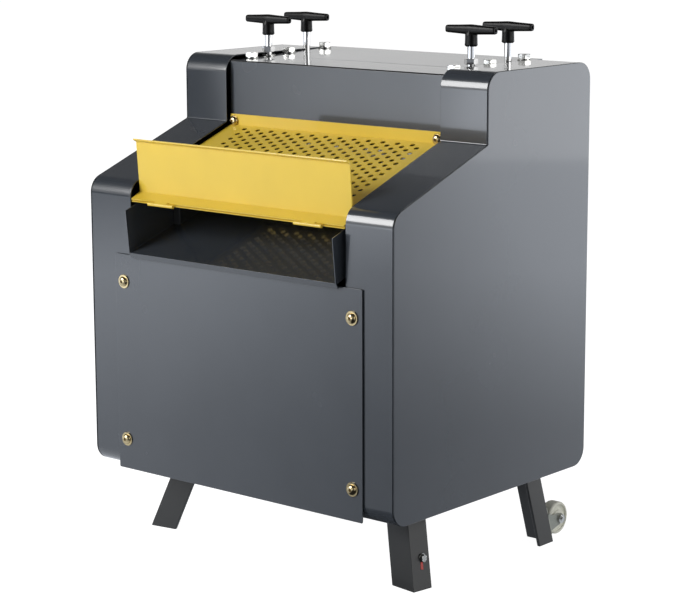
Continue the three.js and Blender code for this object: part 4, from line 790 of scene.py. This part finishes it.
# %% Painted shade under the top plate's front edge
upper_low, upper_high = box_mm("upper_front_panel")
shade_strip_front = upper_low.y + 0.4
shade_strip_low = upper_high.z - 0.5
shade_strip_outline = [(shade_strip_front, shade_strip_low), (plate_low.y + 0.3, shade_strip_low), (plate_low.y + 0.3, TOP_SURFACE - 0.3),
                (shade_strip_front, TOP_SURFACE - 0.5)]
# A black strip, painted shade for the shadowed front edge of the top plate.
settle(prism("top_plate_seam", shade_strip_outline, plate_low.x, plate_high.x, "x", BLACK_SEAM_AND_SHADE))
print("sealer from", round(shade_strip_front, 1), "to", round(plate_low.y + 0.3, 1))

# %% [markdown]
# Six hexagon bolts hold the top plate on the frame plates. A forged hexagon has its corners turned off by a cone.
# Cutting a six sided bar with a turned shape makes exactly that chamfer.

# %% Hexagon pieces
def washer_profile(bore, radius, bottom, top):
    """The section of a flat washer with its outer edges broken."""
    return [(bore, bottom), (radius - 0.3, bottom), (radius, bottom + 0.3), (radius, top - 0.3),
            (radius - 0.3, top), (bore, top), (bore, bottom)]


def hexagon(name, flats, low, high, bore, material, washer=None):
    """A chamfered hexagon round the world's Z axis, from low to high, with a bore for a nut. A washer is its radius,
    bottom and top. All are in millimetres."""
    corner = flats / 2 / math.cos(math.pi / 6)
    slant = (corner - flats / 2) * 0.9
    bar = turned(name, [(0, low), (corner, low), (corner, high), (0, high)], "z", (0, 0, 0), material, 6)
    cone_profile = [(0, low), (flats / 2, low), (corner + 0.2, low + slant), (corner + 0.2, high - slant),
                    (flats / 2, high), (0, high)]
    cone = turned(name + "_cone", cone_profile, "z", (0, 0, 0), material, 48)
    tools = [(cone, "INTERSECT")]
    if bore:
        drill = turned(name + "_drill", [(0, low - 1), (bore, low - 1), (bore, high + 1), (0, high + 1)], "z",
                       (0, 0, 0), material, 32)
        tools.append((drill, "DIFFERENCE"))
    for tool, operation in tools:
        shape = bar.modifiers.new(operation, "BOOLEAN")
        shape.operation = operation
        shape.object = tool
    parts = [evaluated_mesh(bar, name, material)]
    for tool, _ in tools:
        bpy.data.objects.remove(tool)
    if washer:
        parts.append(turned(name + "_washer", washer_profile(bore, *washer), "z", (0, 0, 0), material))
    whole = joined(name, parts)
    whole.data.transform(Matrix.Translation(-ORIGIN))
    whole.data.shade_smooth()
    whole.data.set_sharp_from_angle(angle=math.radians(25))
    return whole


BOLT_FLATS = 17
top_bolt = hexagon("top_bolt", BOLT_FLATS, 1.9, 9, 0, ZINC, washer=(10, 0, 2))
BOLT_X = INNER_EDGE - 11.2
top_bolts = repeat("top_plate_bolts", top_bolt, [
    on_plate(side * BOLT_X, y) for side in (LEFT, RIGHT) for y in (24, 106.5, 189)], (0, 0, math.radians(12)))
settle(top_bolts)

# %% [markdown]
# Each adjusting screw is a plated rod with a black T handle pressed from phenolic.
# The bar swells towards its middle and has a dimple in each end, and a tapered hub takes the rod.
# Rings of points along the bar, joined like a loft, give that swelling in one closed skin.

# %% T handles
STEM_RADIUS = 5.3
HANDLE_HEIGHT = 30.3
BAR_HALF = 42
BAR_SECTIONS = [
    (-1.0, 2.2, 2.2), (-1.0, 4.0, 4.0), (-0.985, 4.9, 4.9), (-0.955, 5.3, 5.2), (-0.9, 5.4, 5.3),
    (-0.45, 6.2, 5.8), (-0.15, 6.9, 6.2), (-0.05, 7.1, 6.4), (0, 7.15, 6.4),
]
HUB_PROFILE = [
    (STEM_RADIUS, 1), (7.4, 0), (8.9, 1.4), (9.1, 2.2), (8.8, 5), (8.6, 14), (8.7, 17), (6, 22), (0, 22),
]


def handle_bar(name, x, y, top):
    """The T handle's bar along X, its middle at x, y and its top at the given height."""
    tallest = BAR_SECTIONS[-1][1]
    middle = top - tallest
    half = [(-0.94, 1.9, 1.9), (-0.99, 2.1, 2.1), *BAR_SECTIONS]
    sections = half + [(-share, *radii) for share, *radii in half[-2::-1]]
    sides = 28
    points = []
    for share, tall, wide in sections:
        for i in range(sides):
            angle = 2 * math.pi * (i + 0.5) / sides
            c, s = math.cos(angle), math.sin(angle)
            u = wide * math.copysign(abs(c) ** 0.7, c)
            v = tall * math.copysign(abs(s) ** 0.7, s)
            points.append((x + share * BAR_HALF, y + u, middle + v))
    faces = ring_faces(len(sections), sides)
    for section in (0, len(sections) - 1):
        faces.append(tuple(section * sides + i for i in range(sides)))
    return mesh_piece(name, points, faces, PHENOLIC)


def adjusting_screw(node):
    low, high = box_mm(node)
    x, y, _ = middle_mm(node)
    hub_low = high.z - HANDLE_HEIGHT
    hub = turned(node + "_hub", [(radius, hub_low + along) for radius, along in HUB_PROFILE],
                 "z", (x, y, 0), PHENOLIC, 40, sharp=50)
    handle = joined(node + "_handle", [handle_bar(node + "_bar", x, y, high.z), hub])
    handle.data.shade_smooth()
    handle.data.set_sharp_from_angle(angle=math.radians(50))
    stem = turned(node + "_stem", [(0, low.z), (STEM_RADIUS - 0.8, low.z), (STEM_RADIUS, low.z + 0.8),
                  (STEM_RADIUS, hub_low + 2), (0, hub_low + 2)], "z", (x, y, 0), CHROME)
    settle(stem, node)
    settle(handle, body=body_of(nodes[node])[0])


for shaft in ("blade", "feed"):
    for side in ("left", "right"):
        adjusting_screw(f"{shaft}_{side}_adjusting_screw")
print("T handles made")

# %% Lock nuts and their washers
NUT_FLATS = 17
NUT_LIFT = 6.3
NUT_HEIGHT = 8
lock_nut = hexagon("lock_nut", NUT_FLATS, NUT_LIFT, NUT_LIFT + NUT_HEIGHT, STEM_RADIUS + 0.1, CHROME)
plate_washer = turned("plate_washer", washer_profile(5.8, 10, 0, 2), "z", (0, 0, 0), ZINC)
plate_washer.data.transform(Matrix.Translation(-ORIGIN))
washer_places = []
for node in ("left_lock_nut", "right_lock_nut"):
    place = on_plate(*middle_mm(node)[:2])
    washer_places.append(place)
    nut = repeat(node + "_finished", lock_nut, [place], (0, 0, math.radians(30)))
    settle(nut, node)
settle(repeat("screw_washers", plate_washer, washer_places))

# %% [markdown]
# The rear casters are pressed from nylon: a hub and a rim joined by a thin web, with rounded tread corners.

# %% Caster wheels
def caster_wheel(node):
    half_profile = [(4.3, 9), (11.4, 9), (12, 8.5), (12.6, 6.6), (14, 5.8), (18.4, 5.8), (19.4, 6.4), (19.7, 8.6),
                    (20.3, 9), (21.8, 9), (23.2, 8.2), (23.9, 6.8), (24, 5)]
    profile = half_profile + [(radius, -along) for radius, along in half_profile[::-1]] + [half_profile[0]]
    wheel = turned(node + "_finished", profile, "x", middle_mm(node), NYLON, 56, sharp=40)
    settle(wheel, node)


caster_wheel("left_caster_wheel")
caster_wheel("right_caster_wheel")
print("caster wheels made")

# %% [markdown]
# A caster hangs in a bracket of bent sheet. Its base lies behind the leg's flange and leans with it.
# Two ears taper from the base to the axle, so that the wheel's top shows above them.

# %% Caster brackets
LEG_EDGE = 229.7
LEG_SPREAD = 0.264
BASE_WIDTH = 38
EAR_GAP, EAR_SHEET, EAR_TIP = 10.2, 2.5, 8
AXLE_RISE, AXLE_INSET = 17, 9
BASE_RISE = 22


def caster_bracket(side, name):
    low, high = box_mm(name)
    x, axle_y, axle_z = middle_mm(name)[0], high.y - AXLE_INSET, low.z + AXLE_RISE
    lower, upper = [(side * (LEG_EDGE - LEG_SPREAD * z), z) for z in (low.z + 1, axle_z + BASE_RISE)]
    base_outline = [(lower[0] - side * BASE_WIDTH, lower[1]), lower, upper, (upper[0] - side * BASE_WIDTH, upper[1])]
    base = prism(name + "_base", base_outline, low.y, low.y + EAR_SHEET, "y", DULL_ZINC)
    tip = [(axle_y + EAR_TIP * math.cos(a), axle_z + EAR_TIP * math.sin(a))
           for a in [math.radians(d) for d in range(-70, 91, 20)]]
    ear_outline = [(low.y + 0.5, low.z + 1), *tip, (low.y + 12, axle_z + 9.5), (low.y + 0.5, axle_z + 14)]
    ears = [prism(f"{name}_ear_{hand}", ear_outline, *sorted((x + hand * EAR_GAP, x + hand * (EAR_GAP + EAR_SHEET))),
                  "x", DULL_ZINC) for hand in (LEFT, RIGHT)]
    for piece in (base, *ears):
        round_edges(piece, 0.4)
    settle(joined(name + "_finished", [base, *ears]), name)
    reach = EAR_GAP + EAR_SHEET + 5.5
    end = [(0, reach), (3, reach), (3.6, reach - 0.8), (3.6, reach - 2), (6.3, reach - 2), (6.8, reach - 2.6),
           (6.8, reach - 5.4), (4, reach - 5.4)]
    axle_profile = [(radius, -along) for radius, along in end] + end[::-1]
    axle = turned(name + "_axle", axle_profile, "x", (x, axle_y, axle_z), ZINC, 24)
    settle(axle)


caster_bracket(LEFT, "left_caster_bracket")
caster_bracket(RIGHT, "right_caster_bracket")
print("caster brackets made")

# %% [markdown]
# A steel bolt with a red tag marks the protective earth on the right front leg.
# It is a small fastener, so it is set on the leg's face where the photograph shows it.

# %% Earth bolt
EARTH_BOLT = (240, -110, -72)
LEG_LEAN = math.atan(0.317)
TAG_CORNERS = ((-5, -3.2), (5, -3.2), (5, 3.2), (-5, 3.2))
earth_head = hexagon("earth_bolt", 10, 1, 5, 0, ZINC, washer=(7, 0, 1.2))
earth = repeat("earth_bolt_on_leg", earth_head, [EARTH_BOLT], (0, math.pi / 2, 0))
settle(earth)
tag_middle = (EARTH_BOLT[1] - 3.6, EARTH_BOLT[2] - 9.5)
tag_along = Vector((-math.sin(LEG_LEAN), -math.cos(LEG_LEAN)))
tag_across = Vector((tag_along.y, -tag_along.x))
tag_outline = [tuple(Vector(tag_middle) + tag_along * a + tag_across * b) for a, b in TAG_CORNERS]
tag = prism("earth_tag", tag_outline, EARTH_BOLT[0] - 0.5, EARTH_BOLT[0] + 1.2, "x", RED_CAP)
for point in tag.data.vertices:
    point.co.x += (at(*EARTH_BOLT).z - point.co.z) * math.tan(LEG_LEAN)
settle(round_edges(tag, 0.4))
print("earth bolt and tag set")

# %% [markdown]
# At the back, small screws hold the rear panel and the guide plate. The switch box has a lid with its own seam.
# Bright collars surround its two buttons, and a hexagon locks the cable gland.

# %% Rear fasteners
small_screw = button_head("small_screw", 8, ZINC)
small_screw.data.transform(Matrix.Scale(0.55, 4))
BACKWARDS = (0, 0, math.pi)
EDGE_INSET, LID_INSET = 9, 8


def screw_places(node, inset, shares):
    """Places near both upright edges of a rear face, at shares of the height between the insets."""
    low, high = box_mm(node)
    rise = high.z - low.z - 2 * inset
    return [(x, high.y, low.z + inset + rise * share) for x in (low.x + inset, high.x - inset) for share in shares]


rear_places = screw_places("rear_panel", EDGE_INSET, (0, 0.5, 1))
guide_places = screw_places("inlet_guide_plate", EDGE_INSET, (0, 0.5, 1))
settle(repeat("rear_screws", small_screw, rear_places + guide_places, BACKWARDS))

# %% Switch box lid, collars and gland nut
box_low, box_high = box_mm("switch_box")
lid_places = screw_places("switch_box", LID_INSET, (0, 1))
settle(repeat("lid_screws", small_screw, lid_places, BACKWARDS))
lid_seam = prism("lid_seam", plate_outline(box_low, box_high, -0.25, 2), box_high.y - 12, box_high.y - 11, "y", BLACK_SEAM_AND_SHADE)
settle(lid_seam)
for word in ("start", "stop"):
    button_x, _, button_z = middle_mm(word + "_button")
    collar = turned(word + "_collar", [(11.5, 0), (14.5, 0), (14.5, 1.4), (13.6, 2.4), (12, 2.4), (11.5, 2), (11.5, 0)],
                    "y", (button_x, box_high.y, button_z), ZINC)
    settle(collar)
gland_x, _, gland_z = middle_mm("power_inlet_gland")
gland_place = (gland_x, box_mm("power_inlet_gland")[0].y, gland_z)
gland_nut = turned("gland_nut", [(8, 0), (15, 0), (15, 5), (8, 5), (8, 0)], "y", gland_place, BLACK_ABS, 6)
settle(round_edges(gland_nut, 0.6))
print("rear details set")

# %% [markdown]
# The machine stands on a plain pale floor in a white room. The room is bright all round and darker overhead.
# Glossy grey enamel shows that difference: its upright faces pick up the bright walls, its slopes the ceiling.

# %% Floor and world
FLOOR_SIZE = 60
floor_mesh = bpy.data.meshes.new("floor")
half = FLOOR_SIZE / 2
floor_mesh.from_pydata([(-half, -half, 0), (half, -half, 0), (half, half, 0), (-half, half, 0)], [], [(0, 1, 2, 3)])
floor_material, floor_tree, floor_shader, floor_place = surface(
    "pale_floor", {"Roughness": 0.9, "Specular IOR Level": 0.1})
floor_marks = noise(floor_tree, floor_place, 3.0, 2.0)
floor_tone = ramp(floor_tree, floor_marks, (0.0, linear("#f0f0f0")), (1.0, linear("#f6f6f6")))
floor_tree.links.new(floor_tone, floor_shader.inputs["Base Color"])
floor = new_object("floor", floor_mesh, floor_material)
print("floor", FLOOR_SIZE, "metres wide")

# %% [markdown]
# A studio floor is lit until it turns white, but its own light must not flood the machine.
# So the camera sees a half share of white added to the lit floor, which keeps a soft shadow.
# A glossy face sees the floor as it is in a studio: brighter on the lamps' side, and brighter further away.
# Dark screens stand in front of the machine and behind it, and give round bright parts their dark lines.
# A wide soft box lights the far floor in front. Its left edge fades, and shows as a slow gradient in the upper panel.

# %% How the floor is seen
FLOOR_WHITE = 1.95
FLOOR_WHITE_SHARE = 0.5
NEAR_RADIUS, BRIGHT_RADIUS, FAR_RADIUS = 1.0, 2.6, 5.0
NEAR_LIGHT, FAR_LIGHT = 0.5, 1.1
BRIGHT_SIDE, DIM_SIDE = 1.65, 0.79
SIDE_START, SIDE_END = -0.05, 0.35
PATCH_START, PATCH_FULL = -0.2, -0.6
SOFTBOX_START, SOFTBOX_END = -0.72, -0.56
SOFTBOX_DARK, SOFTBOX_BRIGHT = -2.2, 3.3
SIDEWAYS = (math.cos(CAMERA_AZIMUTH), -math.sin(CAMERA_AZIMUTH), 0)
FACING = (math.sin(CAMERA_AZIMUTH), -math.cos(CAMERA_AZIMUTH), 0)
SCREEN_STOPS = ((0.08, 0.1), (0.14, 1.0), (0.90, 1.0), (0.94, 0.06))
SCREEN_TINT = (0.93, 0.98, 1.06)
SOFTBOX_STOPS = ((0.09, 0.0), (0.17, 0.24), (0.47, 0.42), (0.76, 0.62), (0.93, 0.98), (1.0, 1.0))
tree = floor_tree
seen_by = add_node(tree, "ShaderNodeLightPath").outputs
reach = measure(tree, "LENGTH", floor_place)
aside = measure(tree, "DOT_PRODUCT", floor_place, SIDEWAYS)
glow = number(tree, "MULTIPLY", ranged(tree, aside, SIDE_START, SIDE_END, BRIGHT_SIDE, DIM_SIDE),
              ranged(tree, reach, NEAR_RADIUS, BRIGHT_RADIUS, NEAR_LIGHT, FAR_LIGHT))
bearing = add_node(tree, "ShaderNodeVectorMath", {0: floor_place}, operation="NORMALIZE").outputs["Vector"]
sides = add_node(tree, "ShaderNodeSeparateXYZ", {"Vector": bearing}).outputs
patch = number(tree, "MULTIPLY", ranged(tree, reach, BRIGHT_RADIUS, FAR_RADIUS),
               ranged(tree, sides["Y"], PATCH_START, PATCH_FULL))
softbox = ramp(tree, ranged(tree, sides["X"], SOFTBOX_START, SOFTBOX_END),
               *[(position, (grey, grey, grey, 1)) for position, grey in SOFTBOX_STOPS])
lit = number(tree, "MULTIPLY_ADD", patch, ranged(tree, softbox, 0.0, 1.0, SOFTBOX_DARK, SOFTBOX_BRIGHT), glow)
facing = measure(tree, "DOT_PRODUCT", bearing, FACING)
screens = ramp(tree, ranged(tree, facing, -1.0, 1.0),
               *[(position, (*[grey * tint for tint in SCREEN_TINT], 1)) for position, grey in SCREEN_STOPS])
mirrored = add_node(tree, "ShaderNodeEmission", {"Color": screens, "Strength": lit}).outputs["Emission"]
for_gloss = add_node(tree, "ShaderNodeMixShader", {
    0: seen_by["Is Glossy Ray"], 1: floor_shader.outputs["BSDF"], 2: mirrored}).outputs["Shader"]
white = add_node(tree, "ShaderNodeEmission", {"Strength": FLOOR_WHITE}).outputs["Emission"]
lifted = add_node(tree, "ShaderNodeMixShader", {
    0: FLOOR_WHITE_SHARE, 1: white, 2: floor_shader.outputs["BSDF"]}).outputs["Shader"]
direct = number(tree, "MAXIMUM", seen_by["Is Camera Ray"], seen_by["Is Transmission Ray"])
floor_seen = add_node(tree, "ShaderNodeMixShader", {0: direct, 1: for_gloss, 2: lifted})
tree.links.new(floor_seen.outputs["Shader"], tree.nodes["Material Output"].inputs["Surface"])
print("floor seen from the room, with", len(SOFTBOX_STOPS), "steps of light")

# %% Room
CEILING_START, CEILING_FULL = 0.2, 0.6
CEILING_LIGHT = 0.06
HORIZON_LIGHT = 0.72
AMBIENT = 0.85
VIEWER_SHADE = 0.45
VIEWER_START, VIEWER_FULL = 0.4, 0.9
SCREEN_START, SCREEN_FULL = 0.9, 0.95
SCREEN_LIGHT = 0.08
world = bpy.data.worlds.new("studio")
bpy.context.scene.world = world
world.use_nodes = True
sky = world.node_tree
rays = add_node(sky, "ShaderNodeLightPath").outputs
seen = number(sky, "MAXIMUM", rays["Is Camera Ray"], rays["Is Transmission Ray"])
direction = add_node(sky, "ShaderNodeTexCoord").outputs["Generated"]
height = add_node(sky, "ShaderNodeSeparateXYZ", {"Vector": direction}).outputs["Z"]
ceiling = ranged(sky, height, CEILING_START, CEILING_FULL, HORIZON_LIGHT, CEILING_LIGHT, "SMOOTHSTEP")
towards = measure(sky, "DOT_PRODUCT", direction, FACING)
viewer_side = ranged(sky, towards, VIEWER_START, VIEWER_FULL, AMBIENT, AMBIENT * VIEWER_SHADE)
screen = ranged(sky, towards, SCREEN_START, SCREEN_FULL, 1.0, SCREEN_LIGHT)
soft = number(sky, "MULTIPLY", ceiling, viewer_side)
mirror = number(sky, "MULTIPLY", ceiling, screen)
room = add_node(sky, "ShaderNodeMix", {0: rays["Is Glossy Ray"], 2: soft, 3: mirror}, data_type="FLOAT").outputs[0]
shown = add_node(sky, "ShaderNodeMix", {0: seen, 2: room, 3: 1.0}, data_type="FLOAT").outputs[0]
sky.links.new(shown, sky.nodes["Background"].inputs["Strength"])
sky.nodes["Background"].inputs["Color"].default_value = (1, 1, 1, 1)
print("room set")

# %% Lamps
def lamp(name, place, target, size, power):
    """A square soft light that faces its target."""
    light = bpy.data.lights.new(name, "AREA")
    light.size = size
    light.energy = power
    source = add_object(name, light)
    source.matrix_world = Matrix.Translation(Vector(place)) @ (
        (Vector(place) - Vector(target)).to_track_quat("Z", "Y").to_matrix().to_4x4())
    source.visible_camera = False


MIDDLE = (0, 0, 0.4)
lamp("front_left", (-2.0, -3.2, 2.2), MIDDLE, 2.0, 120)
lamp("right", (3.4, 0.6, 1.5), MIDDLE, 2.0, 38)
lamp("behind_right", (2.9, 3.4, 1.1), MIDDLE, 2.2, 13)
lamp("overhead", (1.4, 1.3, 3.0), MIDDLE, 0.8, 8)
bpy.context.scene.view_settings.view_transform = "Standard"
print("lamps set")

# %% Put the pattern pieces away
for pattern in (panel_bolt, guard_bolt, top_bolt, lock_nut, plate_washer, earth_head, small_screw):
    bpy.data.objects.remove(pattern)
print("patterns removed")
